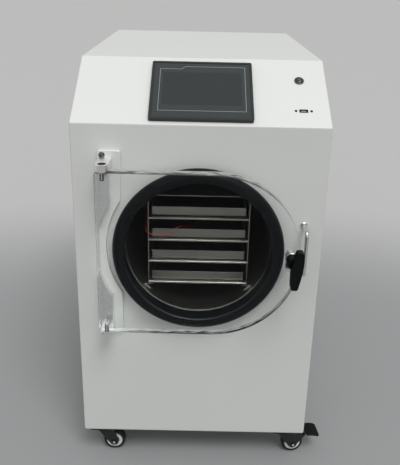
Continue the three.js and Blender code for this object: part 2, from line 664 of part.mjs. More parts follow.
/** Gland in the drum wall that the sensor lead comes out of, along +X. */
function probeGland() {
  const { radius, length, nut, step } = GLAND;
  const profile = [[0, -length], [radius, -length], [radius, -nut], [radius - step, 0], [0, 0]];
  const points = profile.map(([r, along]) => new THREE.Vector2(r, along));
  return solid(new THREE.LatheGeometry(points, 10).rotateZ(-Math.PI / 2));
}

/** Stainless bulb at the end of the lead, lying in the tray along +Y. */
const probeTip = () => turned([
  [0, 0], [TIP.radius, 0], [TIP.radius, TIP.length - TIP.nose], [TIP.radius / 2, TIP.length],
  [0, TIP.length],
], 10);

/** Sleeved sensor lead: from its gland, round the rack's front post and into the second tray. */
function probeWire() {
  const front = RACK_FRONT - 4;
  const post = -RACK_HALF_WIDTH - 4; // just outside the rack side
  const rim = PROBE_RIM;
  const floor = PROBE_FLOOR + PROBE_RADIUS + FIT;
  const points = [
    [GLAND.x + FIT, GLAND.y, GLAND.z], [GLAND.x + 6, GLAND.y, GLAND.z],
    [GLAND.x + 15, GLAND.y - 6, rim + 11], [post - 4, 90, rim + 8], [post - 2, 62, rim + 4],
    [post - 0.5, 40, rim], [post + 1, front + 1.5, rim - 3], [post + 12, front - 3, rim - 7],
    [post + 29, front - 1.5, rim - 10], [post + 45, front - 1, rim - 7], [post + 55, front + 1, rim - 1],
    [post + 62, front + 8, rim + 2.9], [post + 70, front + 20, rim + 1], [post + 81, front + 42, rim - 9],
    [post + 91, front + 66, floor + 1.5], [post + 99, front + 96, floor],
    [TIP.x - 0.5, TIP.y - 14, floor], [TIP.x, TIP.y - 5, floor + 0.9], [TIP.x, TIP.y - FIT, floor + 1],
  ];
  const route = new THREE.CatmullRomCurve3(points.map((p) => new THREE.Vector3(...p)), false, "centripetal");
  return swept(route, PROBE_RADIUS, 32, 8);
}

// ---------------------------------------------------------------- hinge, about the hinge axis
/** Painted plate on the front panel, cut back round the gasket. */
function hingePlate() {
  const left = -HINGE_WIDTH / 2 - HINGE_PLATE_MARGIN;
  const reach = DOOR_RADIUS + HINGE_PLATE_REACH;
  const corners = rectangle(left, -reach, left + HINGE_PLATE_WIDTH, reach);
  const front = -PIVOT_Y - HINGE_PLATE_THICKNESS;
  const plate = alongY(roundedOutline(corners, HINGE_PLATE_CORNER), front, -PIVOT_Y - FIT, 1, 1, 1);
  return cut(plate, barY(HINGE_CUT_RADIUS, -REACH, 2 * REACH, -PIVOT_X, 0, 2 * ROUND));
}

/** Stainless bracket: a pad on the hinge plate with a round ear that holds the pivot pin. */
function hingeBracket(side, thickness) {
  const half = HINGE_WIDTH / 2;
  const padBack = -PIVOT_Y - HINGE_PLATE_THICKNESS - FIT;
  const earZ = DOOR_RADIUS + FIT;
  const pad = rectangle(-half, 0, half, earZ + thickness);
  const padBody = alongY(roundedOutline(pad, HINGE_PAD_CORNER), padBack - HINGE_PAD, padBack, 0, 1, 1);
  const relief = barY(HINGE_CUT_RADIUS + HINGE_BAND, -REACH, 2 * REACH, -PIVOT_X, 0, 2 * ROUND);
  const arc = new THREE.Shape();
  arc.moveTo(half, padBack);
  arc.lineTo(-half, padBack);
  arc.lineTo(-half, 0);
  arc.absarc(0, 0, half, Math.PI, 2 * Math.PI, false);
  arc.closePath();
  const rounding = 2;
  const ear = alongZ(arc, earZ, earZ + thickness, rounding, 1, 5);
  const bore = barZ(PIN_RADIUS + 2 + FIT, 0, earZ + 2 * thickness);
  const upright = cut(join(cut(padBody, relief), ear), bore);
  return side > 0 ? upright : flipped(upright);
}

/** The same solid mirrored in the level plane through the drum axis. */
function flipped(body) {
  const geometry = geometryOf(body);
  geometry.scale(1, 1, -1);
  return solid(geometry);
}

/** Shouldered pivot pin with a hexagon socket in its outer end, a little below the ear's face. */
function pivotPin(side, thickness) {
  const outer = DOOR_RADIUS + FIT + thickness - PIN_RECESS;
  const inner = DOOR_RADIUS - PIN_DEPTH;
  const thread = barZ(PIN_RADIUS + 2, DOOR_RADIUS + FIT, outer);
  const journal = barZ(PIN_RADIUS, inner, DOOR_RADIUS + FIT + 1);
  const socket = barZ(PIN_SOCKET, outer - PIN_SOCKET, outer + 1, 0, 0, 6);
  const pin = cut(join(thread, journal), socket);
  return side > 0 ? pin : flipped(pin);
}

// ---------------------------------------------------------------- door, about the hinge axis
/** Clear D-shaped pane: straight on the hinge side, round on the latch side. */
function doorPane() {
  const left = -PIVOT_EDGE;
  const centre = DOOR_EDGE_X - PIVOT_X - DOOR_RADIUS;
  const shape = new THREE.Shape();
  shape.moveTo(left + DOOR_CORNER, -DOOR_RADIUS);
  shape.absarc(centre, 0, DOOR_RADIUS, -Math.PI / 2, Math.PI / 2, false);
  shape.lineTo(left + DOOR_CORNER, DOOR_RADIUS);
  shape.lineTo(left, DOOR_RADIUS - DOOR_CORNER);
  shape.lineTo(left, DOOR_CORNER - DOOR_RADIUS);
  shape.closePath();
  const half = DOOR_THICKNESS / 2;
  const pane = alongY(shape, -half, half, DOOR_ARRIS, 1, 14);
  const pins = [-1, 1].map((side) => {
    const z = [side * (DOOR_RADIUS - PIN_DEPTH - 1), side * (DOOR_RADIUS + 1)].sort((a, b) => a - b);
    return barZ(PIN_RADIUS + FIT, z[0], z[1]);
  });
  const latch = barY(BUSH_SLEEVE + FIT, -REACH, REACH, SPINDLE_X - PIVOT_X, SPINDLE_RAISE, 24);
  return cut(pane, ...pins, latch);
}

/** Flanged bush in the pane, about the spindle axis with y from the pane's middle. */
function latchBush() {
  const half = DOOR_THICKNESS / 2;
  const flange = BUSH_SLEEVE + BUSH_FLANGE;
  const front = -half - FIT - BUSH_FLANGE_THICKNESS;
  return turned([
    [SPINDLE_RADIUS + FIT, front], [flange, front], [flange, -half - FIT], [BUSH_SLEEVE, -half - FIT],
    [BUSH_SLEEVE, half], [SPINDLE_RADIUS + FIT, half],
  ], 16);
}

/** Moulded lever on a round hub, about the spindle axis. */
function doorHandle() {
  const back = -DOOR_THICKNESS / 2 - BUSH_FLANGE_THICKNESS - 2 * FIT;
  const front = back - HUB_LENGTH;
  const hub = barY(HUB_RADIUS, front - 4, back, 0, 0, 24);
  const top = [LEVER_LEAN + LEVER_SWEEP, LEVER_RISE];
  const bottom = [LEVER_LEAN - LEVER_SWEEP, LEVER_RISE - LEVER_LENGTH];
  const narrow = LEVER_END_WIDTH / 2;
  const wide = LEVER_WIDTH - narrow; // control point of a flank that bulges to half the width
  const corner = LEVER_CORNER;
  const shape = new THREE.Shape();
  shape.moveTo(top[0] - narrow + corner, top[1]);
  shape.quadraticCurveTo(top[0] - narrow, top[1], top[0] - narrow, top[1] - corner);
  shape.quadraticCurveTo(LEVER_LEAN - wide, 0, bottom[0] - narrow, bottom[1] + corner);
  shape.quadraticCurveTo(bottom[0] - narrow, bottom[1], bottom[0] - narrow + corner, bottom[1]);
  shape.lineTo(bottom[0] + narrow - corner, bottom[1]);
  shape.quadraticCurveTo(bottom[0] + narrow, bottom[1], bottom[0] + narrow, bottom[1] + corner);
  shape.quadraticCurveTo(LEVER_LEAN + wide, 0, top[0] + narrow, top[1] - corner);
  shape.quadraticCurveTo(top[0] + narrow, top[1], top[0] + narrow - corner, top[1]);
  shape.closePath();
  const lever = alongY(shape, front - LEVER_THICKNESS, front, LEVER_EDGE, 2, 3);
  const bore = barY(SPINDLE_RADIUS + FIT, back - HUB_LENGTH + 2, REACH);
  return cut(join(hub, lever), bore);
}

/** Spindle with its tongue and nut behind the pane, about the spindle axis. */
function latchTongue() {
  const half = DOOR_THICKNESS / 2;
  const start = half + FIT;
  const nutBack = start + TONGUE_THICKNESS + TONGUE_NUT.height;
  const spindle = barY(SPINDLE_RADIUS, -half - HUB_LENGTH + 1, nutBack + 1);
  const r = TONGUE_WIDTH / 2;
  const shape = new THREE.Shape();
  shape.moveTo(r, 0);
  shape.absarc(0, 0, r, 0, Math.PI, false);
  shape.lineTo(-r, r - TONGUE_LENGTH);
  shape.absarc(0, r - TONGUE_LENGTH, r, Math.PI, 2 * Math.PI, false);
  shape.closePath();
  const tongue = alongY(shape, start, start + TONGUE_THICKNESS, 0, 1, 3);
  const nut = barY(TONGUE_NUT.radius, start + TONGUE_THICKNESS - 1, nutBack, 0, 0, 6);
  return join(spindle, tongue, nut);
}

/** Bent rod on the front panel that the tongue hooks behind. */
function latchKeeper() {
  const half = KEEPER_HEIGHT / 2 - KEEPER_ROD;
  const bend = KEEPER_BEND;
  const end = SHEET + KEEPER_TAIL;
  const at = (y, z) => new THREE.Vector3(0, y, z);
  const path = new THREE.CurvePath();
  path.add(new THREE.LineCurve3(at(end, half), at(KEEPER_Y + bend, half)));
  path.add(new THREE.QuadraticBezierCurve3(at(KEEPER_Y + bend, half), at(KEEPER_Y, half),
    at(KEEPER_Y, half - bend)));
  path.add(new THREE.LineCurve3(at(KEEPER_Y, half - bend), at(KEEPER_Y, bend - half)));
  path.add(new THREE.QuadraticBezierCurve3(at(KEEPER_Y, bend - half), at(KEEPER_Y, -half),
    at(KEEPER_Y + bend, -half)));
  path.add(new THREE.LineCurve3(at(KEEPER_Y + bend, -half), at(end, -half)));
  return swept(path, KEEPER_ROD, 17, 8);
}

// ---------------------------------------------------------------- controls, in the fascia's frame
/** Panel computer: raised bezel outside the fascia, body and clamping rim behind it. */
function hmiHousing() {
  const { width, height, start, bezel, body, radius, edge, rim, lap, recess } = PANEL_PC;
  const frame = (inset) =>
    rectangle(inset - width / 2, start + inset, width / 2 - inset, start + height - inset);
  const front = FIT + bezel;
  const outer = alongZ(roundedOutline(frame(0), radius), FIT, front, edge, 2, 1);
  const rear = alongZ(outline(frame(lap + FIT)), -body, FIT + edge);
  return cut(join(outer, rear), alongZ(outline(frame(rim)), front - recess, front + 1));
}

/** Printed glass that lies in the bezel's recess. */
function hmiGlass() {
  const { width, height, start, bezel, rim, glass } = PANEL_PC;
  const inset = rim + FIT;
  const edges = rectangle(inset - width / 2, start + inset, width / 2 - inset, start + height - inset);
  return alongZ(outline(edges), bezel - glass, bezel);
}

/** Turns a lathe profile so that its axis stands on the fascia. */
const turnedOnFascia = (profile, segments) => {
  const points = profile.map(([radius, along]) => new THREE.Vector2(radius, along));
  if (points[0].x > 0) points.push(points[0].clone());
  return solid(new THREE.LatheGeometry(points, segments).rotateX(Math.PI / 2));
};

/** Metal bezel of the power button, with its threaded barrel and the nut behind the panel. */
function buttonBezel() {
  const { radius, barrel, proud, depth, nut } = BUTTON;
  const bore = BUTTON.cap + FIT;
  const behind = -SHEET - FIT;
  const nutBack = behind - 3;
  return turnedOnFascia([
    [bore, -depth], [barrel, -depth], [barrel, nutBack], [nut, nutBack], [nut, behind], [barrel, behind],
    [barrel, FIT], [radius, FIT], [radius, proud - 0.8], [radius - 1, proud], [bore, proud],
  ], 16);
}

/** Slightly domed button cap that slides in the bezel. */
function buttonCap() {
  const { cap, proud, stroke } = BUTTON;
  return turnedOnFascia([
    [0, -stroke], [cap, -stroke], [cap, proud + 0.4], [cap - 0.8, proud + 1.2], [0, proud + 1.6],
  ], 16);
}

/** Socket with a rim through the panel, a tongue inside and a flange behind. */
function usbSocket() {
  const { wall, proud, depth, flange } = USB;
  const [x, y] = [USB.width / 2, USB.height / 2];
  const behind = -SHEET - FIT;
  const shellBody = block(-x, -y, -depth, x, y, proud);
  const hollow = block(wall - x, wall - y, wall - depth, x - wall, y - wall, proud + 1);
  const ears = block(-x - flange, -y - 2, behind - 1.5, x + flange, y + 2, behind);
  const tongue = block(3 - x, 0, -depth, x - 3, 1.6, -1);
  return join(cut(join(shellBody, ears), hollow), tongue);
}

// ---------------------------------------------------------------- castors, about the swivel axis
const CROWN_TOP = -FIT - CASTOR_PLATE_SHEET - RACE_HEIGHT - RACE_GAP; // fork crown below the cabinet
const CROWN_THICKNESS = 3;
const CROWN_RADIUS = 23;
const KINGPIN_RADIUS = 6;
const KINGPIN_SIDES = 8;
const AXLE_Z = WHEEL_RADIUS - BASE_HEIGHT;
const AXLE_RADIUS = 4;
const FORK_GAP = WHEEL_WIDTH / 2 + 1.5;
const FORK_SHEET = 2.5;
const PEDAL_X = CASTOR_TRAIL + 24;
const PEDAL_Z = AXLE_Z + WHEEL_RADIUS + 2;
const PEDAL_PIN = 2.5;
const PEDAL_EAR = 6; // radius of the fork round the pedal's pin
const AXLE_EYE = 9.8; // radius of the fork round the axle
const AXLE_NUT = { radius: 6.5, height: 4 };

/** Mounting plate with the swivel race pressed under it. */
function castorPlate() {
  const half = CASTOR_PLATE / 2;
  const corner = 5;
  const under = -FIT - CASTOR_PLATE_SHEET;
  const square = roundedOutline(rectangle(-half, -half, half, half), corner);
  const plate = alongZ(square, under, -FIT, 0, 1, 1);
  const race = new THREE.LatheGeometry([
    new THREE.Vector2(0, 1), new THREE.Vector2(CROWN_RADIUS - 3, 0),
    new THREE.Vector2(CROWN_RADIUS, -RACE_HEIGHT), new THREE.Vector2(0, -RACE_HEIGHT),
  ], 18).rotateX(Math.PI / 2).translate(0, 0, under);
  const bore = (KINGPIN_RADIUS + FIT) / Math.cos(Math.PI / KINGPIN_SIDES);
  return cut(join(plate, solid(race)), barZ(bore, -REACH, REACH, 0, 0, KINGPIN_SIDES));
}

/** Pressed fork: crown with its kingpin, two swept legs and the riveted axle. */
function castorFork(braked) {
  const crown = barZ(CROWN_RADIUS, CROWN_TOP - CROWN_THICKNESS, CROWN_TOP, 0, 0, 18);
  const kingpin = barZ(KINGPIN_RADIUS, CROWN_TOP - 1, -FIT - 1, 0, 0, KINGPIN_SIDES);
  const legTop = CROWN_TOP - 0.5;
  const legHalf = 0.72 * CROWN_RADIUS; // half of a leg's width under the crown
  const eyeStart = Math.PI * 1.13; // where the leg's front edge runs into the axle's eye
  const eyeX = CASTOR_TRAIL + AXLE_EYE * Math.cos(eyeStart);
  const eyeZ = AXLE_Z + AXLE_EYE * Math.sin(eyeStart);
  const shape = new THREE.Shape();
  shape.moveTo(-legHalf, legTop);
  shape.quadraticCurveTo(-2, AXLE_Z + 14, eyeX, eyeZ);
  shape.absarc(CASTOR_TRAIL, AXLE_Z, AXLE_EYE, eyeStart, Math.PI * 2, false);
  if (braked) {
    shape.lineTo(PEDAL_X + PEDAL_EAR, PEDAL_Z - 1);
    shape.absarc(PEDAL_X, PEDAL_Z, PEDAL_EAR, 0, Math.PI / 2, false);
    shape.lineTo(CROWN_RADIUS - 2, legTop);
  } else {
    shape.quadraticCurveTo(CASTOR_TRAIL + 6, AXLE_Z + 22, legHalf, legTop);
  }
  shape.closePath();
  const legs = [-FORK_GAP - FORK_SHEET, FORK_GAP].map((y) => alongY(shape, y, y + FORK_SHEET, 0, 1, 2));
  const reach = FORK_GAP + FORK_SHEET;
  const axle = barY(AXLE_RADIUS, -reach - 1, reach + 1, CASTOR_TRAIL, AXLE_Z, 8);
  const nuts = [-reach - AXLE_NUT.height, reach - 0.5].map((y) =>
    barY(AXLE_NUT.radius, y, y + AXLE_NUT.height + 0.5, CASTOR_TRAIL, AXLE_Z, 6));
  const fork = join(crown, kingpin, ...legs, axle, ...nuts);
  if (!braked) return fork;
  return cut(fork, barY(PEDAL_PIN + FIT, -REACH, REACH, PEDAL_X, PEDAL_Z, 8));
}

/** Wheel with a crowned tyre and a recessed web, about its own axle. */
function castorWheel() {
  const half = WHEEL_WIDTH / 2;
  const boss = { radius: 9, proud: 0.7 };
  const web = half - 2.5; // recessed face between the boss and the tyre
  const tyre = WHEEL_RADIUS - 6; // where the tyre starts
  const tread = WHEEL_RADIUS / Math.cos(Math.PI / WHEEL_SIDES);
  const flank = [
    [AXLE_RADIUS + 0.5, half + boss.proud], [boss.radius, half + boss.proud], [boss.radius, web],
    [tyre - 2, web], [tyre, half], [tread, half - 4],
  ];
  const mirrored = flank.map(([radius, y]) => [radius, -y]).reverse();
  return turned([...flank, ...mirrored], WHEEL_SIDES);
}

/** Brake pedal: barrel and lobe between the fork's ears, and the foot plate beyond them. */
function brakePedal() {
  const ear = FORK_GAP - FIT;
  const footHalf = 19; // half of the foot plate's width
  const lobe = outline([
    [-3, 4.5], [4, 4.5], [9, 2], [9, -2], [4, -7], [-2, -10.8], [-5.5, -7.5], [-6, -1],
  ]);
  const plate = new THREE.Shape();
  plate.moveTo(7, 2);
  plate.quadraticCurveTo(24, 4, 36, -1);
  plate.lineTo(39, -8);
  plate.lineTo(36.5, -8.6);
  plate.quadraticCurveTo(30, -2, 7, -1.6);
  plate.closePath();
  const reach = FORK_GAP + FORK_SHEET + 0.5;
  const pin = barY(PEDAL_PIN, -reach, reach, 0, 0, 8);
  return join(alongY(lobe, -ear, ear), alongY(plate, -footHalf, footHalf, 1, 1, 3), pin);
}

// ---------------------------------------------------------------- machinery below the drum
/** Hermetic compressor on its foot plate, with its two pipe stubs. */
function compressor() {
  const can = { radius: 64, neck: 56, base: 8, waist: 22, shoulder: 120, height: 168 };
  const plateHalf = { x: 88, y: 58 };
  const plateZ = 12;
  const footInset = 12;
  const profile = [[0, can.base], [can.radius - 6, can.base], [can.radius, can.waist],
    [can.radius, can.shoulder], [can.neck, can.height - 18], [0, can.height]];
  const shell = new THREE.LatheGeometry(profile.map(([r, z]) => new THREE.Vector2(r, z)), 14);
  const plate = alongZ(outline(rectangle(-plateHalf.x, -plateHalf.y, plateHalf.x, plateHalf.y)),
    plateZ, plateZ + 3);
  const feet = [[-1, -1], [1, -1], [-1, 1], [1, 1]].map(([x, y]) =>
    barZ(9, 0, plateZ + 2, x * (plateHalf.x - footInset), y * (plateHalf.y - footInset), 8));
  const stubs = [barZ(5, can.shoulder, can.height + 17, 40, 0, 8),
    barZ(4, can.shoulder, can.height + 17, -38, 18, 8)];
  return join(solid(shell.rotateX(Math.PI / 2)), plate, ...feet, ...stubs);
}

const CONDENSER = { width: 190, height: 200, depth: 44, fins: 14, end: 6, lap: 2 };

/** Finned condenser block between two end plates. */
function condenser() {
  const { width, height, depth, fins, end, lap } = CONDENSER;
  const pitch = width / fins;
  const corners = [];
  for (let i = 0; i < fins; i += 1) {
    const x = i * pitch - width / 2;
    corners.push([x, 0], [x + pitch * 0.5, 0], [x + pitch * 0.5, depth * 0.35], [x + pitch, depth * 0.35]);
  }
  corners.push([width / 2, depth], [-width / 2, depth]);
  const core = alongZ(outline(corners), end, height - end);
  const ends = [0, height - end].map((z) =>
    block(-width / 2 - lap, -lap, z, width / 2 + lap, depth + lap, z + end));
  return join(core, ...ends);
}

const SHROUD = { size: 180, duct: 82, depth: 34, motor: 26, motorLength: 16, shaft: 4 };

/** Fan shroud: square plate with a round duct, and the motor on three arms, about the fan axis. */
function fanShroud() {
  const half = SHROUD.size / 2;
  const plate = block(-half, 0, -half, half, 3, half);
  const duct = barY(SHROUD.duct + 3, 0, SHROUD.depth, 0, 0, 24);
  const bore = barY(SHROUD.duct, -1, SHROUD.depth + 1, 0, 0, 24);
  const motor = barY(SHROUD.motor, 0, SHROUD.motorLength, 0, 0, 16);
  const shaft = barY(SHROUD.shaft, 0, SHROUD.motorLength + 14, 0, 0, 8);
  const arms = [0, 1, 2].map((i) => {
    const arm = new THREE.BoxGeometry(8, 4, SHROUD.duct).translate(0, 2, SHROUD.duct / 2);
    return solid(arm.rotateY((2 * Math.PI * i) / 3));
  });
  return join(cut(join(plate, duct), bore), motor, shaft, ...arms);
}

/** Fan rotor: hub and pitched blades, about the fan axis. */
function fanRotor() {
  const blades = 5;
  const back = SHROUD.motorLength + FIT;
  const bore = SHROUD.shaft + 2 * FIT;
  const hub = turned([[bore, back], [22, back], [22, back + 12], [18, back + 15], [bore, back + 15]], 16);
  const tip = SHROUD.duct - 5;
  const vane = new THREE.Shape();
  vane.moveTo(16, -11);
  vane.quadraticCurveTo(0.6 * tip, -20, tip, -14);
  vane.quadraticCurveTo(tip + 1, 8, tip - 7, 20);
  vane.quadraticCurveTo(0.55 * tip, 14, 16, 11);
  vane.closePath();
  const parts = [];
  for (let i = 0; i < blades; i += 1) {
    const blade = prism(vane, 1.6, 0, 1, 2).rotateX(-Math.PI / 2);
    blade.rotateX(THREE.MathUtils.degToRad(14)).rotateY((2 * Math.PI * i) / blades);
    parts.push(solid(blade.translate(0, back + 7, 0)));
  }
  return cut(join(hub, ...parts), barY(bore, 0, 2 * SHROUD.depth, 0, 0, 16));
}

/** Electrical box with a lid that overhangs it. */
function controlBox() {
  const [x, y, height] = [55, 80, 150];
  const lap = 3; // lid beyond the box
  const skirt = 8; // lid down over the box
  const lid = block(-x - lap, -y - lap, height - skirt, x + lap, y + lap, height + lap);
  return join(block(-x, -y, 0, x, y, height), lid);
}

/** Mains inlet with three pins in its well. */
function powerInlet() {
  const { flange, lap, depth, wall } = INLET;
  const [x, z] = [INLET.width / 2, INLET.height / 2];
  const face = rectangle(-flange / 2, -z - lap, flange / 2, z + lap);
  const rim = alongY(roundedOutline(face, 4), FIT, 3, 0, 1, 1);
  const body = block(-x, -depth, -z, x, 1, z);
  const well = block(wall - x, -INLET.well, wall - z, x - wall, 5, z - wall);
  const pins = [[-7, -2], [0, 2], [7, -2]].map(([px, pz]) =>
    block(px - 1, -INLET.well - 1, pz - 2, px + 1, 1, pz + 2));
  return join(cut(join(rim, body), well), ...pins);
}

// ---------------------------------------------------------------- assembly
const freezeDryer = new THREE.Group();

piece(freezeDryer, "front_panel", frontPanel(), WHITE_PAINT);
piece(freezeDryer, "left_side_panel", sidePanel(-1), WHITE_PAINT);
piece(freezeDryer, "right_side_panel", sidePanel(1), WHITE_PAINT);
piece(freezeDryer, "top_cover", topCover(), WHITE_PAINT);
piece(freezeDryer, "rear_panel", rearPanel(), WHITE_PAINT);
piece(freezeDryer, "base_pan", basePan(), WHITE_PAINT);
const CRADLE_INSET = 60; // cradle from either end of the straight drum
piece(freezeDryer, "drum_cradle_front", drumCradle(CRADLE_INSET), GALVANISED);
piece(freezeDryer, "drum_cradle_rear", drumCradle(DRUM_END - CRADLE_INSET), GALVANISED);

const chamber = groupAt(freezeDryer, 0, 0, CHAMBER_HEIGHT);
piece(chamber, "chamber_drum", chamberDrum(), STAINLESS);
piece(chamber, "door_gasket", doorGasket(), BLACK_RUBBER);
piece(chamber, "insulation_jacket", insulationJacket(), FOAM);
piece(chamber, "rack_side_left", rackSide(-1), STAINLESS);
piece(chamber, "rack_side_right", rackSide(1), STAINLESS);
piece(chamber, "rack_top", rackTop(), STAINLESS);
for (let i = 0; i < SHELVES; i += 1) {
  const level = SHELVES - 1 - i; // shelves and trays are numbered from the top
  piece(chamber, `shelf_${i + 1}`, rackShelf(level), STAINLESS);
  piece(chamber, `tray_${i + 1}`, tray(level), STAINLESS);
}
piece(groupAt(chamber, GLAND.x, GLAND.y, GLAND.z), "probe_gland", probeGland(), BRIGHT_STEEL);
piece(chamber, "probe_wire", probeWire(), RED_SLEEVE);
piece(groupAt(chamber, TIP.x, TIP.y, PROBE_FLOOR + TIP.radius + FIT), "probe_tip", probeTip(), BRIGHT_STEEL);

const hinge = groupAt(freezeDryer, PIVOT_X, PIVOT_Y, CHAMBER_HEIGHT);
piece(hinge, "hinge_plate", hingePlate(), WHITE_PAINT);
piece(hinge, "hinge_bracket_top", hingeBracket(1, UPPER_EAR), BRIGHT_STEEL);
piece(hinge, "hinge_bracket_bottom", hingeBracket(-1, LOWER_EAR), BRIGHT_STEEL);
piece(hinge, "pivot_pin_top", pivotPin(1, UPPER_EAR), BRIGHT_STEEL);
piece(hinge, "pivot_pin_bottom", pivotPin(-1, LOWER_EAR), BRIGHT_STEEL);
piece(hinge, "door_pane", doorPane(), CLEAR_ACRYLIC);
const latch = groupAt(hinge, SPINDLE_X - PIVOT_X, 0, SPINDLE_RAISE);
piece(latch, "latch_bush", latchBush(), BRIGHT_STEEL);
piece(latch, "door_handle", doorHandle(), BLACK_PLASTIC);
piece(latch, "latch_tongue", latchTongue(), BRIGHT_STEEL);
const keeper = groupAt(freezeDryer, KEEPER_X, 0, KEEPER_Z);
piece(keeper, "latch_keeper", latchKeeper(), BRIGHT_STEEL);

const fascia = groupAt(freezeDryer, 0, 0, FOLD_Z);
fascia.rotation.x = FASCIA_ANGLE;
piece(fascia, "hmi_housing", hmiHousing(), BLACK_PLASTIC);
piece(fascia, "hmi_glass", hmiGlass(), SCREEN);
const button = groupAt(fascia, BUTTON.x, BUTTON.y, 0);
piece(button, "button_bezel", buttonBezel(), BRIGHT_STEEL);
piece(button, "button_cap", buttonCap(), BRIGHT_STEEL);
piece(groupAt(fascia, USB.x, USB.y, 0), "usb_socket", usbSocket(), BRIGHT_STEEL);

// Each castor: its name, side of the cabinet, front or rear, how far it has swung, and its brake
const CASTORS = [
  { name: "front_left", x: -1, rear: false, angle: 0, braked: false },
  { name: "front_right", x: 1, rear: false, angle: BRAKED_ANGLE, braked: true },
  { name: "rear_left", x: -1, rear: true, angle: 180 + BRAKED_ANGLE, braked: true },
  { name: "rear_right", x: 1, rear: true, angle: 180, braked: false },
];
for (const castor of CASTORS) {
  const x = castor.x * (CABINET_WIDTH / 2 - CASTOR_INSET_X);
  const y = castor.rear ? CABINET_DEPTH - CASTOR_INSET_Y : CASTOR_INSET_Y;
  const fixed = groupAt(freezeDryer, x, y, BASE_HEIGHT);
  piece(fixed, `castor_plate_${castor.name}`, castorPlate(), BLACK_STEEL);
  const swivel = groupAt(fixed, 0, 0, 0);
  swivel.rotation.z = THREE.MathUtils.degToRad(castor.angle);
  piece(swivel, `castor_fork_${castor.name}`, castorFork(castor.braked), BLACK_STEEL);
  const axle = groupAt(swivel, CASTOR_TRAIL, 0, AXLE_Z);
  axle.rotation.y = Math.PI / WHEEL_SIDES;
  piece(axle, `castor_wheel_${castor.name}`, castorWheel(), TYRE);
  if (castor.braked) {
    piece(groupAt(swivel, PEDAL_X, 0, PEDAL_Z), `brake_pedal_${castor.name}`, brakePedal(), BLACK_PLASTIC);
  }
}

const COMPRESSOR = { x: -90, y: DRUM_END - 200 };
const CONTROL_BOX = { x: 130, y: 190 };
const ON_PAN = FLOOR_Z + FIT;
piece(groupAt(freezeDryer, COMPRESSOR.x, COMPRESSOR.y, ON_PAN), "compressor", compressor(), BLACK_STEEL);
const fanBack = CABINET_DEPTH - SHEET - 8; // the shroud's rear edge clears the rear panel's slots
const fan = groupAt(freezeDryer, FAN.x, fanBack - SHROUD.depth, FAN.z);
piece(fan, "fan_shroud", fanShroud(), BLACK_PLASTIC);
piece(fan, "fan_rotor", fanRotor(), BLACK_PLASTIC);
const condenserY = fanBack - SHROUD.depth - CONDENSER.depth - CONDENSER.lap - FIT;
piece(groupAt(freezeDryer, FAN.x, condenserY, ON_PAN), "condenser", condenser(), GALVANISED);
piece(groupAt(freezeDryer, CONTROL_BOX.x, CONTROL_BOX.y, ON_PAN), "control_box", controlBox(), GALVANISED);
piece(groupAt(freezeDryer, INLET.x, CABINET_DEPTH, INLET.z), "power_inlet", powerInlet(), BLACK_PLASTIC);

// The origin is the middle of the footprint, on the floor.
const box = new THREE.Box3().setFromObject(freezeDryer, true);
freezeDryer.position.set(-(box.min.x + box.max.x) / 2, -(box.min.y + box.max.y) / 2, -box.min.z);
freezeDryer.updateMatrixWorld(true);

export default freezeDryer;
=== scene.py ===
"""A cabinet freeze dryer on castors: its looks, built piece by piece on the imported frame.

Lengths are millimetres in the cabinet's own frame (x to the right, y back from the front panel,
z up from the floor), until `add` turns a finished piece into Blender's metres.
"""
import json
import math

import bmesh
import bpy
from mathutils import Matrix, Vector
from mathutils.geometry import tessellate_polygon

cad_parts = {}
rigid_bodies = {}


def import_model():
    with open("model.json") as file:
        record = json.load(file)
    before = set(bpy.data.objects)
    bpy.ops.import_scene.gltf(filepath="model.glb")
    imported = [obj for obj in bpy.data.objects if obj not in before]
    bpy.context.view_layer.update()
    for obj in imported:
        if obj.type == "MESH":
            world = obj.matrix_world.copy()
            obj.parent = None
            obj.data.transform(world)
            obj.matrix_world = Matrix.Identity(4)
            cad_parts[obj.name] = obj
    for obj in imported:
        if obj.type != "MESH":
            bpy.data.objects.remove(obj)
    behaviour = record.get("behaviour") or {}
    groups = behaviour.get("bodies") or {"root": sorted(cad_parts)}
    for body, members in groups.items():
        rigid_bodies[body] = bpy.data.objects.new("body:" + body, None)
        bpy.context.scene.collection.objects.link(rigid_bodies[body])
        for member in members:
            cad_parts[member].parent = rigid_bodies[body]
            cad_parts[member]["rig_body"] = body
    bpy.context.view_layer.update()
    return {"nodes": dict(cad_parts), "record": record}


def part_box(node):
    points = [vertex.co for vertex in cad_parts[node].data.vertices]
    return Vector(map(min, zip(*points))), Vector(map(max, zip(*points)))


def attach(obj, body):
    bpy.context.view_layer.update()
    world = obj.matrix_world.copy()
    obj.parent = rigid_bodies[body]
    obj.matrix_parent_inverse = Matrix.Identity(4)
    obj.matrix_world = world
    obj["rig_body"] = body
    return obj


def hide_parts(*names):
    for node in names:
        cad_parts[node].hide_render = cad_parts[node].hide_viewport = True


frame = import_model()
NODES = frame["nodes"]
SLOT_OF = {part["node"]: part["material_slot"] for part in frame["record"]["subparts"]}
MM = 0.001
PANEL_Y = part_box("front_panel")[0].y
TO_ROW = Matrix.Translation((0, PANEL_Y, 0)) @ Matrix.Scale(MM, 4)


def span(node):
    """Lowest and highest corner of a CAD node, in millimetres in the cabinet's frame."""
    back = TO_ROW.inverted()
    return tuple(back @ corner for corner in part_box(node))


def middle_of(node):
    """Middle of a CAD node's box, in millimetres in the cabinet's frame."""
    return [(a + b) / 2 for a, b in zip(*span(node))]


# ---- sizes
BASE_HEIGHT = 75
FOLD_Z = 795
FASCIA_ANGLE = math.atan2(105, 150)
HALF_WIDTH = 250
DEPTH = 700
FIT = 0.3

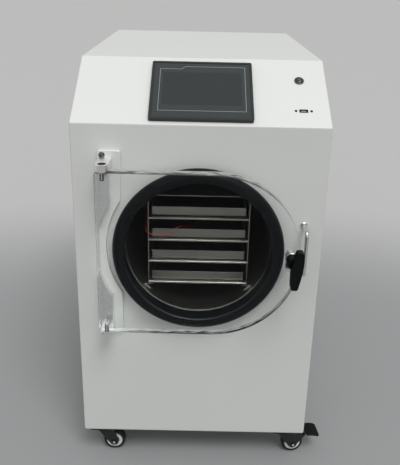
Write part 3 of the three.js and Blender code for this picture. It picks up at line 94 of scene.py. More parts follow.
RING_LOW, RING_HIGH = span("door_gasket")
AXIS_Z = middle_of("door_gasket")[2]
GASKET_RADIUS = (RING_HIGH.x - RING_LOW.x) / 2
GASKET_FRONT = RING_LOW.y
BORE_RADIUS = 150
DRUM_WALL = 3
DRUM_END = 516
RIM_RADIUS = 163
RIM_FRONT = -24
DISH_DEPTH = 46
PORT_RADIUS = 13
PORT_STUB = 28  # the vacuum pipe stands out this far behind the cabinet

SIDE_LOW, SIDE_HIGH = span("rack_side_right")
RACK_HALF_WIDTH = SIDE_HIGH.x
RACK_HALF_HEIGHT = (SIDE_HIGH.z - SIDE_LOW.z) / 2
RACK_FRONT = SIDE_LOW.y
RACK_BACK = SIDE_HIGH.y
RACK_CLEAR = 4  # the sensor lead runs this far outside the rack
TRAY_SHEET = 0.8

PANE_LOW, PANE_HIGH = span("door_pane")
DOOR_RADIUS = (PANE_HIGH.z - PANE_LOW.z) / 2
DOOR_FRONT = PANE_LOW.y
DOOR_BACK = PANE_HIGH.y
PIVOT_INSET = 14  # of the pivot pins from the pane's straight edge
PIVOT_X = PANE_LOW.x + PIVOT_INSET
PIVOT_Y = (DOOR_FRONT + DOOR_BACK) / 2
HALF_PANE = (DOOR_BACK - DOOR_FRONT) / 2
EAR_Z = DOOR_RADIUS + FIT  # the ears' inner faces, from the drum's axis
PIN_RADIUS = 4
PIN_HEAD = PIN_RADIUS + 2
PIN_DEPTH = 16  # the pins reach this far into the pane
PIN_RECESS = 3
HINGE_RELIEF = 200.5  # the bracket pads' round cut, about the drum's axis
PAD_SHIFT = -1.5  # the pads' middle from the pivot
PAD_CLEAR = 1.2  # pads to the sweep of the door's corner
HINGE_SCREW_Z = 190  # the plate's screws above and below the drum's axis
SPINDLE_X, _, SPINDLE_Z = middle_of("latch_bush")
HUB_RADIUS = 11
SLEEVE_RADIUS = 10
SPINDLE_RADIUS = 5
CUTTER = 20  # cutting shapes are one to three times this long, to run out of what they cut


def in_scene(name, data):
    """A new object that is in the scene."""
    made = bpy.data.objects.new(name, data)
    bpy.context.scene.collection.objects.link(made)
    return made


# ---- camera
FOCAL_LENGTH = 45.25
SENSOR = 36
LENS_SHIFT = -0.1344  # the picture lies below the lens's middle
STANDPOINT = (-0.0028, -1.38575, 1.07183)  # in metres
TILT_ROLL_TURN = (71.111, -1.211, 0.265)  # in degrees


def aim_camera():
    """The photograph's viewpoint: a little above the fascia and close, looking down."""
    lens = bpy.data.cameras.new("camera")
    lens.lens = FOCAL_LENGTH
    lens.sensor_width = SENSOR
    lens.shift_y = LENS_SHIFT
    lens.clip_start = 0.05
    lens.clip_end = 200
    camera = in_scene("camera", lens)
    camera.location = STANDPOINT
    camera.rotation_euler = [math.radians(angle) for angle in TILT_ROLL_TURN]
    bpy.context.scene.camera = camera


aim_camera()


# ---- finishes
def add_node(tree, kind, inputs=(), **settings):
    """A shader node with some of its settings and inputs given."""
    made = tree.nodes.new("ShaderNode" + kind)
    for setting, value in settings.items():
        setattr(made, setting, value)
    for socket, value in dict(inputs).items():
        made.inputs[socket].default_value = value
    return made


def noise(tree, place, scale, detail, stretch=(1, 1, 1)):
    """Soft noise over the object, squeezed along its axes."""
    mapping = add_node(tree, "Mapping", {"Scale": stretch})
    tree.links.new(place, mapping.inputs["Vector"])
    made = add_node(tree, "TexNoise", {"Scale": scale, "Detail": detail})
    tree.links.new(mapping.outputs["Vector"], made.inputs["Vector"])
    return made.outputs["Fac"]


def remap(tree, value, low, high, start=0, end=1, **settings):
    """A value whose range from start to end is laid onto low to high."""
    ranges = {"From Min": start, "From Max": end, "To Min": low, "To Max": high}
    made = add_node(tree, "MapRange", ranges, **settings)
    tree.links.new(value, made.inputs["Value"])
    return made.outputs["Result"]


def between(tree, value, first, last, start=0, end=1):
    """A colour that goes from the first to the last as a value goes from start to end."""
    made = add_node(tree, "ValToRGB")
    for stop, colour, position in zip(made.color_ramp.elements, (first, last), (start, end)):
        stop.color = (*colour, 1)
        stop.position = position
    tree.links.new(value, made.inputs["Fac"])
    return made.outputs["Color"]


def new_material(name):
    """A material, its node tree, its main shader and the place on the object."""
    made = bpy.data.materials.new(name)
    made.use_nodes = True
    tree = made.node_tree
    return made, tree, tree.nodes["Principled BSDF"], add_node(tree, "TexCoord").outputs["Object"]


def surface(name, colour, roughness, metallic=0.0, shade=0.05, patch=30, grain=900,
            stretch=(1, 1, 1), relief=0.1, spread=0.05, **sockets):
    """A finish whose colour drifts in soft patches, with a fine grain in its gloss and relief."""
    made, tree, shader, place = new_material(name)
    link = tree.links.new
    tones = [[min(1, channel * amount) for channel in colour] for amount in (1 - shade, 1 + shade)]
    link(between(tree, noise(tree, place, patch, 3), *tones, 0.3, 0.7), shader.inputs["Base Color"])

    fine = noise(tree, place, grain, 2, stretch)
    gloss = remap(tree, fine, max(0.02, roughness - spread), roughness + spread)
    link(gloss, shader.inputs["Roughness"])
    bump = add_node(tree, "Bump", {"Strength": relief, "Distance": 0.0005})
    link(fine, bump.inputs["Height"])
    link(bump.outputs["Normal"], shader.inputs["Normal"])

    shader.inputs["Metallic"].default_value = metallic
    for socket, value in sockets.items():
        shader.inputs[socket.replace("_", " ")].default_value = value
    return made


def acrylic(name, light, dark, clearness, rough_low, rough_high, shine, streak=(14, 14, 14), front=0.0):
    """Acrylic that lamps shine through, so that the chamber behind it is lit.

    Its colour and gloss change from light to dark in streaks, and the colour streaks are painted glints
    and dark reflections; it is darker along the front, a painted shade.
    """
    made, tree, shader, place = new_material(name)
    link = tree.links.new
    shader.inputs["Transmission Weight"].default_value = clearness
    shader.inputs["IOR"].default_value = 1.49
    shader.inputs["Specular Tint"].default_value = (shine, shine, shine, 1)
    smear = noise(tree, place, 1, 2, streak)
    split = add_node(tree, "SeparateXYZ")
    link(place, split.inputs["Vector"])
    edges = [(TO_ROW @ corner).y for corner in (PANE_LOW, PANE_HIGH)]
    tone = add_node(tree, "Math")
    link(smear, tone.inputs[0])
    link(remap(tree, split.outputs["Y"], -front, front, *edges), tone.inputs[1])
    link(between(tree, tone.outputs["Value"], dark, light, 0.44, 0.56), shader.inputs["Base Color"])
    link(remap(tree, smear, rough_low, rough_high), shader.inputs["Roughness"])
    through = add_node(tree, "BsdfTransparent", {"Color": (0.975, 0.985, 0.98, 1)})
    mix = add_node(tree, "MixShader")
    link(add_node(tree, "LightPath").outputs["Is Shadow Ray"], mix.inputs["Fac"])
    link(shader.outputs["BSDF"], mix.inputs[1])
    link(through.outputs["BSDF"], mix.inputs[2])
    link(mix.outputs["Shader"], tree.nodes["Material Output"].inputs["Surface"])
    return made


BRUSHED = {"grain": 60, "stretch": (1, 30, 30), "relief": 0.05, "spread": 0.09}  # streaks along x
FINISH = {}


def finish(slot, *look, kind=surface, **settings):
    """Makes the material of one of the record's slots."""
    FINISH[slot] = kind(slot, *look, **settings)


finish("white_paint", (0.775, 0.79, 0.77), 0.4, shade=0.012, patch=3, relief=0.06)
finish("stainless", (0.5, 0.5, 0.48), 0.3, 1, patch=9, **BRUSHED)
finish("bright_steel", (0.74, 0.745, 0.75), 0.14, 1, shade=0.02, patch=40, grain=300, relief=0.02)
finish("black_moulding", (0.003, 0.0035, 0.004), 0.45, shade=0.1, grain=1500,
       relief=0.25, Specular_IOR_Level=0.15)
finish("black_bezel", (0.01, 0.012, 0.013), 0.35, shade=0.06, patch=20, grain=1800, relief=0.15)
finish("screen", (0.025, 0.034, 0.034), 0.22, shade=0.03, patch=10, relief=0.01)
finish("black_steel", (0.014, 0.015, 0.016), 0.4, shade=0.1, patch=25, relief=0.12)
finish("black_rubber", (0.002, 0.003, 0.004), 0.42, shade=0.12, patch=12,
       relief=0.12, spread=0.08, Specular_IOR_Level=0.15)
finish("tyre", (0.007, 0.0075, 0.008), 0.6, shade=0.15, grain=1200, relief=0.25)
finish("clear_acrylic", (0.995, 1, 0.998), (0.985, 0.995, 0.99), 1, 0.0, 0.02, 0.1, kind=acrylic)
finish("foam", (0.03, 0.032, 0.034), 0.95, shade=0.2, patch=60, grain=500, relief=0.6)
finish("galvanised", (0.42, 0.44, 0.45), 0.45, 1, shade=0.18, patch=45, grain=120, spread=0.12)
finish("fan_plastic", (0.02, 0.021, 0.022), 0.5, shade=0.08, grain=1200, relief=0.2)
finish("red_sleeve", (0.42, 0.05, 0.035), 0.45, shade=0.12, patch=80, grain=1500, relief=0.2)

LIGHT_RING = surface("light_ring", (0.5, 0.51, 0.5), 0.4, patch=40)
WHEEL_RING = surface("wheel_ring", (0.82, 0.83, 0.82), 0.4, patch=40)
SCREEN_WINDOW = surface("screen_window", (0.017, 0.022, 0.023), 0.16, patch=12, relief=0.01)
SCREEN_LINE = surface("screen_line", (0.3, 0.33, 0.33), 0.35, shade=0.04, relief=0.02)
# the pane's edge faces: frosted and half clear, with painted glints and dark dashes in long streaks, and a
# painted shade along the front
FROSTED_EDGE_AND_GLINTS = acrylic("frosted_edge_and_glints", (0.9, 0.93, 0.92), (0.05, 0.055, 0.055), 0.55, 0.06, 0.25, 1,
                        (40, 260, 40), 0.19)
# the pane's rounded arrises: dark lines of painted shade, with some lighter streaks
PAINTED_ARRIS_SHADE = acrylic("painted_arris_shade", (0.32, 0.34, 0.34), (0.06, 0.065, 0.065), 0.4, 0.1, 0.25, 1, (50, 200, 50), 0.1)
# a pale band painted on the rubber inside the seal's mouth, a painted highlight where the light falls on
# it
PAINTED_MOUTH_HIGHLIGHT = surface("painted_mouth_highlight", (0.17, 0.17, 0.155), 0.35, shade=0.1, patch=40, relief=0.05)
# the seal's front lip: a lighter colour, a painted highlight along the lip's edge
PAINTED_LIP_HIGHLIGHT = surface("painted_lip_highlight", (0.016, 0.019, 0.021), 0.36, shade=0.1, patch=40, relief=0.05)
SATIN_STEEL = surface("satin_steel", (0.84, 0.84, 0.83), 0.28, 1, shade=0.03, grain=300,
                      relief=0.005, spread=0.02)
# steel for the upper bracket's upward faces: rougher, and brighter as a painted highlight of the light
# from above
PAINTED_HIGHLIGHT_TOP = surface("painted_highlight_top", (0.92, 0.92, 0.91), 0.55, 1, shade=0.02, grain=300, relief=0.02)
DARK_CHROME = surface("dark_chrome", (0.13, 0.135, 0.14), 0.16, 1, shade=0.7, patch=330, grain=300,
                      relief=0.03)
# darker copies of the stainless for the trays and the rack, a painted shade for their place deep inside
# the drum
SHADED_TRAY_STEEL = surface("shaded_tray_steel", (0.24, 0.24, 0.215), 0.36, 1, shade=0.08, patch=14, **BRUSHED)
SHADED_RACK_STEEL = surface("shaded_rack_steel", (0.32, 0.32, 0.295), 0.42, 1, shade=0.06, patch=9, **BRUSHED)


# ---- frames that outlines are drawn in
LEVEL = Matrix.Identity(4)
FRONTAL = Matrix(((1, 0, 0, 0), (0, 0, -1, 0), (0, 1, 0, 0), (0, 0, 0, 1)))  # depth towards the viewer
DEEP = Matrix(((1, 0, 0, 0), (0, 0, 1, 0), (0, -1, 0, 0), (0, 0, 0, 1)))  # depth towards the back
SIDEWAYS = Matrix(((0, 0, 1, 0), (1, 0, 0, 0), (0, 1, 0, 0), (0, 0, 0, 1)))  # depth to the right
ON_FASCIA = Matrix.Translation((0, 0, FOLD_Z)) @ Matrix.Rotation(FASCIA_ANGLE, 4, "X")


def placed(matrix, x, y, z):
    """A drawing frame moved to a place."""
    return Matrix.Translation((x, y, z)) @ matrix


def raised(place, height):
    """A drawing frame moved along its own z axis."""
    return place @ Matrix.Translation((0, 0, height))


# ---- outlines
def arc(x, y, radius, start, end, count):
    """Points along an arc, from one angle to another in degrees."""
    turns = [math.radians(start + (end - start) * i / count) for i in range(count + 1)]
    return [(x + radius * math.cos(turn), y + radius * math.sin(turn)) for turn in turns]


def circle(radius, count, x=0, y=0):
    return arc(x, y, radius, 0, 360, count)[:-1]


def bend(start, control, end, count=10):
    """Points along a quadratic curve, without its start."""
    points = []
    for i in range(1, count + 1):
        t = i / count
        weights = ((1 - t) ** 2, 2 * t * (1 - t), t * t)
        points.append(tuple(sum(w * p[k] for w, p in zip(weights, (start, control, end))) for k in (0, 1)))
    return points


def rounded(x0, y0, x1, y1, radius, count=6):
    """An upright rectangle with round corners."""
    return (arc(x1 - radius, y1 - radius, radius, 0, 90, count)
            + arc(x0 + radius, y1 - radius, radius, 90, 180, count)
            + arc(x0 + radius, y0 + radius, radius, 180, 270, count)
            + arc(x1 - radius, y0 + radius, radius, 270, 360, count))


def rectangle(x0, y0, x1, y1):
    return [(x0, y0), (x1, y0), (x1, y1), (x0, y1)]


# ---- meshes
CORNER = math.radians(35)  # edges sharper than this are rounded


def bevel(bm, edges, width, steps):
    bmesh.ops.bevel(bm, geom=edges, offset=width, segments=steps, profile=0.5, affect="EDGES",
                    clamp_overlap=True)


def soften(bm, edge, steps=2):
    """Rounds every edge that is a corner."""
    if edge > 0:
        bevel(bm, [e for e in bm.edges if len(e.link_faces) == 2 and e.calc_face_angle() > CORNER],
              edge, steps)
    return bm


def join_flat(bm):
    """Makes each flat face whole."""
    bmesh.ops.dissolve_limit(bm, angle_limit=math.radians(0.5), verts=bm.verts[:], edges=bm.edges[:])


def slab(outline, depth, place, edge=0.0, holes=(), steps=2):
    """A plate cut to an outline, with round edges and holes, drawn in the place's xy plane."""
    bm = bmesh.new()
    loops = [outline, *holes]
    triangles = tessellate_polygon([[Vector((x, y, 0)) for x, y in loop] for loop in loops])
    levels = []
    for height in (0, depth):
        levels.append([bm.verts.new((x, y, height)) for loop in loops for x, y in loop])
    for verts in levels:
        for corners in triangles:
            bm.faces.new([verts[i] for i in corners])
    first = 0
    for loop in loops:
        count = len(loop)
        for i in range(count):
            a, b = first + i, first + (i + 1) % count
            bm.faces.new((levels[0][a], levels[0][b], levels[1][b], levels[1][a]))
        first += count
    join_flat(bm)
    bmesh.ops.recalc_face_normals(bm, faces=bm.faces[:])
    if edge > 0:
        rims = [e for e in bm.edges if len(e.link_faces) == 2
                and abs(e.verts[0].co.z - e.verts[1].co.z) < 1e-4
                and e.calc_face_angle() > math.radians(50)]
        bevel(bm, rims, edge, steps)
    bm.transform(place)
    return bm


def lathe(profile, place, segments, edge=0.0):
    """A profile of (radius, height) points turned about the place's z axis."""
    bm = bmesh.new()
    rings = []
    for radius, height in profile:
        if radius == 0:
            rings.append([bm.verts.new((0, 0, height))])
            continue
        turns = [2 * math.pi * i / segments for i in range(segments)]
        rings.append([bm.verts.new((radius * math.cos(t), radius * math.sin(t), height)) for t in turns])
    pairs = list(zip(rings, rings[1:]))
    if profile[0][0] > 0:
        pairs.append((rings[-1], rings[0]))
    for a, b in pairs:
        for i in range(segments):
            j = (i + 1) % segments
            corners = (a[i % len(a)], a[j % len(a)], b[j % len(b)], b[i % len(b)])
            distinct = list(dict.fromkeys(corners))
            if len(distinct) > 2:
                bm.faces.new(distinct)
    bmesh.ops.recalc_face_normals(bm, faces=bm.faces[:])
    soften(bm, edge)
    bm.transform(place)
    return bm


def cylinder(radius, height, place, segments=40, edge=0.0):
    """A round bar that stands on the place's xy plane."""
    return lathe([(0, 0), (radius, 0), (radius, height), (0, height)], place, segments, edge)


def loft(rings):
    """A closed skin through rings of points, capped at both ends."""
    bm = bmesh.new()
    made = [[bm.verts.new(point) for point in ring] for ring in rings]
    for a, b in zip(made, made[1:]):
        for i in range(len(a)):
            j = (i + 1) % len(a)
            bm.faces.new((a[i], a[j], b[j], b[i]))
    bm.faces.new(made[0])
    bm.faces.new(made[-1])
    return bm


def tube(points, radius, sides, per):
    """A round bar along a smooth line through points."""
    centres = smooth(points, per)
    rings = []
    for i, centre in enumerate(centres):
        ahead = (centres[min(i + 1, len(centres) - 1)] - centres[max(i - 1, 0)]).normalized()
        if i == 0:
            across = ahead.orthogonal().normalized()
        across = (across - ahead * across.dot(ahead)).normalized()
        up = ahead.cross(across)
        turns = [2 * math.pi * k / sides for k in range(sides)]
        rings.append([centre + radius * (math.cos(t) * across + math.sin(t) * up) for t in turns])
    return loft(rings)


def smooth(points, per):
    """A smooth line through points, with a number of steps from each to the next."""
    points = [Vector(point) for point in points]
    padded = [2 * points[0] - points[1], *points, 2 * points[-1] - points[-2]]
    line = []
    for a, b, c, d in zip(padded, padded[1:], padded[2:], padded[3:]):
        for i in range(per):
            t = i / per
            line.append(0.5 * (2 * b + (c - a) * t + (2 * a - 5 * b + 4 * c - d) * t ** 2
                               + (3 * b - a - 3 * c + d) * t ** 3))
    return [*line, points[-1]]


def as_mesh(bm, name="part"):
    """A Blender mesh from a bmesh, which is used up."""
    mesh = bpy.data.meshes.new(name)
    bm.to_mesh(mesh)
    bm.free()
    return mesh


def merged(*parts):
    """Several meshes as one; the parts are used up."""
    whole = bmesh.new()
    for part in parts:
        mesh = as_mesh(part)
        whole.from_mesh(mesh)
        bpy.data.meshes.remove(mesh)
    return whole


def copies(part, places):
    """One mesh repeated at several places; the part is used up."""
    moved = [part.copy() for _ in places]
    part.free()
    for one, place in zip(moved, places):
        one.transform(place)
    return merged(*moved)


def combined(first, second, operation):
    """One mesh joined to, or cut by, another; both are used up."""
    objects = [in_scene("part", as_mesh(part)) for part in (first, second)]
    modifier = objects[0].modifiers.new("combine", "BOOLEAN")
    modifier.operation = operation
    modifier.object = objects[1]
    modifier.solver = "EXACT"
    evaluated = objects[0].evaluated_get(bpy.context.evaluated_depsgraph_get())
    result = bmesh.new()
    result.from_mesh(evaluated.to_mesh())
    evaluated.to_mesh_clear()
    for obj in objects:
        bpy.data.meshes.remove(obj.data)
    bmesh.ops.remove_doubles(result, verts=result.verts[:], dist=0.001)
    join_flat(result)
    return result


def joined(first, *others):
    for other in others:
        first = combined(first, other, "UNION")
    return first


def cut(first, *others):
    for other in others:
        first = combined(first, other, "DIFFERENCE")
    return first


def of_node(node):
    """A CAD node's own mesh, welded and with its flat faces made whole."""
    bm = bmesh.new()
    bm.from_mesh(NODES[node].data)
    bm.transform(TO_ROW.inverted())
    bmesh.ops.remove_doubles(bm, verts=bm.verts[:], dist=0.002)
    join_flat(bm)
    return bm


# ---- pieces
SHARP = math.radians(38)  # edges that are shaded as sharp


def add(name, bm, slot, *nodes, body=None, material=None, others=()):
    """Turns a mesh into a piece that rides on its body and stands for its CAD nodes."""
    bmesh.ops.recalc_face_normals(bm, faces=bm.faces[:])
    bm.transform(TO_ROW)
    mesh = as_mesh(bm, name)
    mesh.shade_smooth()
    mesh.set_sharp_from_angle(angle=SHARP)
    mesh.materials.append(material or FINISH[slot])
    for other in others:
        mesh.materials.append(other)
    obj = in_scene(name, mesh)
    obj.modifiers.new("shading", "WEIGHTED_NORMAL").keep_sharp = True
    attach(obj, body or NODES[nodes[0]]["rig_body"])
    if nodes:
        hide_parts(*nodes)
    return obj


def refined(node, edge, steps=2, material=None):
    """A CAD node's shape with its sharp edges rounded."""
    return add("fine_" + node, soften(of_node(node), edge, steps), SLOT_OF[node], node, material=material)


# ---- the sensor lead
LEAD_DIAMETER = 2


def lead_route():
    """The lead's middle line, from its gland round the rack's front post into the second tray."""
    tray_low, tray_high = span("tray_2")
    gland_x = span("probe_gland")[1].x + FIT
    _, gland_y, gland_z = middle_of("probe_gland")
    tip_x = middle_of("probe_tip")[0]
    tip_y = span("probe_tip")[0].y
    post = -RACK_HALF_WIDTH - RACK_CLEAR
    front = RACK_FRONT - 4
    rim = tray_high.z
    floor = tray_low.z + TRAY_SHEET + LEAD_DIAMETER / 2 + FIT
    return [
        (gland_x, gland_y, gland_z), (gland_x + 5.7, gland_y, gland_z),
        (gland_x + 14.7, gland_y - 6, rim + 11), (post - 4, 90, rim + 8), (post - 2, 62, rim + 4),
        (post - 0.5, 40, rim), (post + 1, front + 1.5, rim - 3), (post + 12, front - 3, rim - 7),
        (post + 29, front - 1.5, rim - 10), (post + 45, front - 1, rim - 7),
        (post + 55, front + 1, rim - 1), (post + 62, front + 8, rim + 2.9),
        (post + 70, front + 20, rim + 1), (post + 81, front + 42, rim - 9),
        (post + 91, front + 66, floor + 1.5), (post + 99, front + 96, floor),
        (tip_x - 0.5, tip_y - 14, floor), (tip_x, tip_y - 5, floor + 0.9), (tip_x, tip_y - FIT, floor + 1),
    ]


def sensor_lead():
    """Red sleeved lead, with the bulb on its end lying in the tray."""
    tip_low, tip_high = span("probe_tip")
    radius = (tip_high.x - tip_low.x) / 2
    length = tip_high.y - tip_low.y
    x, _, z = middle_of("probe_tip")
    bulb = lathe([(0, 0), (radius * 0.8, 0), (radius * 0.8, 3), (radius, 3.6), (radius, length - 2),
                  (radius * 0.6, length - 0.5), (0, length)], placed(DEEP, x, tip_low.y, z), 32, 0.2)
    tip = add("sensor_bulb", bulb, "bright_steel", "probe_tip")

    low, high = span("probe_gland")
    _, y, z = middle_of("probe_gland")
    reach = (high.z - low.z) / 2
    gland = lathe([(0, 0), (reach, 0), (reach, 4.5), (reach - 1.2, 5), (reach - 1.2, 6.5),
                   (reach - 2, high.x - low.x), (0, high.x - low.x)],
                  placed(SIDEWAYS, low.x, y, z), 6, 0.25)
    add("sensor_gland", gland, "bright_steel", "probe_gland")

    row = [TO_ROW @ point for point in smooth(lead_route(), 4)]
    data = bpy.data.curves.new("sensor_lead", "CURVE")
    data.dimensions = "3D"
    data.bevel_depth = LEAD_DIAMETER / 2 * MM
    data.bevel_resolution = 4
    data.use_fill_caps = True
    spline = data.splines.new("POLY")
    spline.points.add(len(row) - 1)
    for knot, point in zip(spline.points, row):
        knot.co = (*point, 1)
    data.materials.append(FINISH["red_sleeve"])
    lead = in_scene("sensor_lead", data)
    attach(lead, NODES["probe_wire"]["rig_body"])
    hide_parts("probe_wire")
    length = sum((b - a).length for a, b in zip(row, row[1:]))


sensor_lead()


# ---- stage
FADE_CENTRE = (0, -1.5, 0)  # in metres, on the floor about under the camera
NEAR_FLOOR = 1.9  # the floor begins to fade this far from there
FAR_FLOOR = 2.9
NEAR_TONE = (0.33, 0.335, 0.34)
FAR_TONE = (0.52, 0.525, 0.52)
LIGHT_BACK = (0.165, 0.168, 0.17, 1)  # the floor's colour for the light that it throws back
HORIZON = 0.36  # brightness of the sky low down, and at its bright middle
ZENITH = 0.95
SKY_CENTRE = (0, -0.42, 0.91)
SUN_SIDE = Vector((0.2, -0.45, 0.87))  # from the machine towards the sun
SUN_POWER = 1.25
SUN_WIDTH = math.radians(24)


def ground_material():
    """Matt pale studio floor, a shade lighter far behind the machine; it throws back less light."""
    made = surface("ground", (0.5, 0.5, 0.5), 0.7, shade=0, patch=1, grain=40, relief=0.01,
                   Specular_IOR_Level=0.25)
    tree = made.node_tree
    link = tree.links.new
    away = add_node(tree, "VectorMath", {1: FADE_CENTRE}, operation="DISTANCE")
    link(add_node(tree, "TexCoord").outputs["Object"], away.inputs[0])
    fade = remap(tree, away.outputs["Value"], 0, 1, NEAR_FLOOR, FAR_FLOOR, interpolation_type="SMOOTHSTEP")
    pale = between(tree, fade, NEAR_TONE, FAR_TONE)

    rays = add_node(tree, "LightPath")
    seen = rays.outputs["Is Camera Ray"]
    for kind in ("Is Glossy Ray", "Is Transmission Ray"):
        either = add_node(tree, "Math", operation="MAXIMUM")
        link(seen, either.inputs[0])
        link(rays.outputs[kind], either.inputs[1])
        seen = either.outputs["Value"]
    choice = add_node(tree, "Mix", {6: LIGHT_BACK}, data_type="RGBA")
    link(seen, choice.inputs["Factor"])
    link(pale, choice.inputs[7])
    link(choice.outputs[2], tree.nodes["Principled BSDF"].inputs["Base Color"])
    return made


def stage():
    """A plain grey floor under a soft even sky, with one broad sun for the key light."""
    bm = bmesh.new()
    bmesh.ops.create_circle(bm, cap_ends=True, segments=64, radius=40)
    floor = in_scene("floor", as_mesh(bm, "floor"))
    floor.data.materials.append(ground_material())

    world = bpy.data.worlds.new("studio")
    bpy.context.scene.world = world
    world.use_nodes = True
    tree = world.node_tree
    link = tree.links.new
    background = tree.nodes["Background"]
    background.inputs["Color"].default_value = (1, 1, 0.995, 1)
    height = add_node(tree, "VectorMath", {1: SKY_CENTRE}, operation="DOT_PRODUCT")
    link(add_node(tree, "TexCoord").outputs["Generated"], height.inputs[0])
    above = add_node(tree, "Clamp")
    link(height.outputs["Value"], above.inputs["Value"])
    square = add_node(tree, "Math", {1: 2}, operation="POWER")
    link(above.outputs["Result"], square.inputs[0])
    link(remap(tree, square.outputs["Value"], HORIZON, ZENITH), background.inputs["Strength"])

    sun = bpy.data.lights.new("key", "SUN")
    sun.energy = SUN_POWER
    sun.angle = SUN_WIDTH
    key = in_scene("key", sun)
    key.rotation_euler = SUN_SIDE.to_track_quat("Z", "Y").to_euler()
    bpy.context.scene.view_settings.view_transform = "Standard"


stage()


# ---- cabinet
def screw_head(radius):
    """Pan head with a cross recess, standing on its drawing plane."""
    height = 0.55 * radius
    head = lathe([(0, 0), (radius, 0), (radius, 0.3 * height), (0.85 * radius, 0.75 * height),
                  (0.5 * radius, height), (0, height)], LEVEL, 32)
    arm, half = 0.5 * radius, 0.12 * radius
    slots = [slab(rectangle(-a, -b, a, b), height, raised(LEVEL, 0.45 * height))
             for a, b in ((arm, half), (half, arm))]
    return cut(head, *slots)


def cabinet():
    for node in ("front_panel", "left_side_panel", "right_side_panel", "top_cover", "rear_panel",
                 "base_pan"):
        refined(node, 0.4)
    low, high = span("rear_panel")
    inset = 9
    heights = [low.z + inset + i * (high.z - low.z - 2 * inset) / 4 for i in range(5)]
    back = placed(FRONTAL, 0, high.y, 0) @ Matrix.Rotation(math.pi, 4, "Y")
    places = [back @ Matrix.Translation((side * (HALF_WIDTH - inset), z, 0))
              for side in (-1, 1) for z in heights]
    add("rear_screws", copies(screw_head(4), places), "bright_steel", body="cabinet")


# ---- chamber
def dish(radius, depth, pipe):
    """Profile of a dished end from the wall to the pipe."""
    last, count = math.acos(pipe / radius), 14
    turns = [last * i / count for i in range(1, count + 1)]
    return [(radius * math.cos(t), DRUM_END + depth * math.sin(t)) for t in turns]


def rail(side):
    """Angle on the drum wall that the rack stands on: a seat, and a leg that follows the wall."""
    top = -RACK_HALF_HEIGHT - FIT
    sheet, leg = 2, 12
    outer, inner = BORE_RADIUS + 1, BORE_RADIUS - sheet

    def on_circle(radius, z):
        return math.sqrt(radius ** 2 - z * z), z

    fall = [top - leg * i / 6 for i in range(7)]
    rise = [top - leg + (leg - sheet) * i / 6 for i in range(7)]
    seat = RACK_HALF_WIDTH - 10
    outline = [(seat, top - sheet), (seat, top), *[on_circle(outer, z) for z in fall],
               *[on_circle(inner, z) for z in rise]]
    outline = [(side * x, z) for x, z in outline]
    return slab(outline, RACK_BACK - RACK_FRONT, placed(FRONTAL, 0, RACK_BACK, AXIS_Z), 0.4)


DRUM_AXIS = placed(DEEP, 0, 0, AXIS_Z)
MOUTH_HIGHLIGHT_START = -0.5  # a pale band, a painted highlight, runs from here back into the mouth


def drum():
    """Turned drum with a rim, a weld bead, a dished end and the vacuum pipe, and its two rails."""
    pipe = PORT_RADIUS + DRUM_WALL
    outer = BORE_RADIUS + DRUM_WALL
    pipe_end = DEPTH + PORT_STUB
    profile = [
        (BORE_RADIUS, RIM_FRONT), (RIM_RADIUS, RIM_FRONT), (RIM_RADIUS, RIM_FRONT + DRUM_WALL),
        (outer, RIM_FRONT + DRUM_WALL), (outer, DRUM_END),
        *dish(outer, DISH_DEPTH + DRUM_WALL, pipe),
        (pipe, pipe_end - 4), (pipe + 4, pipe_end - 2), (pipe + 4, pipe_end),
        (PORT_RADIUS, pipe_end),
        *reversed(dish(BORE_RADIUS, DISH_DEPTH, PORT_RADIUS)),
        (BORE_RADIUS, DRUM_END + 3), (BORE_RADIUS - 0.7, DRUM_END + 1),
        (BORE_RADIUS - 0.7, DRUM_END - 1), (BORE_RADIUS, DRUM_END - 3),
    ]
    shell = lathe(profile, DRUM_AXIS, 128)
    add("fine_drum", merged(shell, rail(-1), rail(1)), "stainless", "chamber_drum")


def gasket():
    """Thick rubber ring with a round outside; its front lip and a band inside its mouth are lighter,
    painted highlights.
    """
    inside = BORE_RADIUS - 4.2
    front, back = GASKET_FRONT, -4  # of the round outside
    middle, half = (front + back) / 2, (back - front) / 2
    fullness = 12  # how far the round outside stands out from its own middle line
    line = GASKET_RADIUS - fullness
    seat = RIM_RADIUS + FIT
    last = math.acos((seat - line) / fullness)
    turns = [-1.45 + (last + 1.45) * i / 14 for i in range(15)]
    ring = [
        (inside, 5), (inside, MOUTH_HIGHLIGHT_START), (inside, front + 4), (inside + 1.2, front + 1.4),
        (inside + 3.5, front),
        (line - 2, front), *[(line + fullness * math.cos(t), middle + half * math.sin(t)) for t in turns],
        (seat, RIM_FRONT - FIT), (BORE_RADIUS - FIT, RIM_FRONT - FIT), (BORE_RADIUS - FIT, 5),
    ]
    seal = lathe(ring, DRUM_AXIS, 128)
    seal.normal_update()
    # faces of the lip's front take the painted lip highlight, and faces further back in the mouth the pale
    # band painted as a highlight
    for face in seal.faces:
        centre = face.calc_center_median()
        if math.hypot(centre.x, centre.z - AXIS_Z) < inside + 1.2:
            face.material_index = 1 if centre.y < front + 4 else 2 if centre.y > MOUTH_HIGHLIGHT_START else 0
    add("fine_gasket", seal, "black_rubber", "door_gasket", others=(PAINTED_LIP_HIGHLIGHT, PAINTED_MOUTH_HIGHLIGHT))


def chamber():
    drum()
    gasket()
    refined("insulation_jacket", 2, 3)
    for node in ("drum_cradle_front", "drum_cradle_rear"):
        refined(node, 0.4)


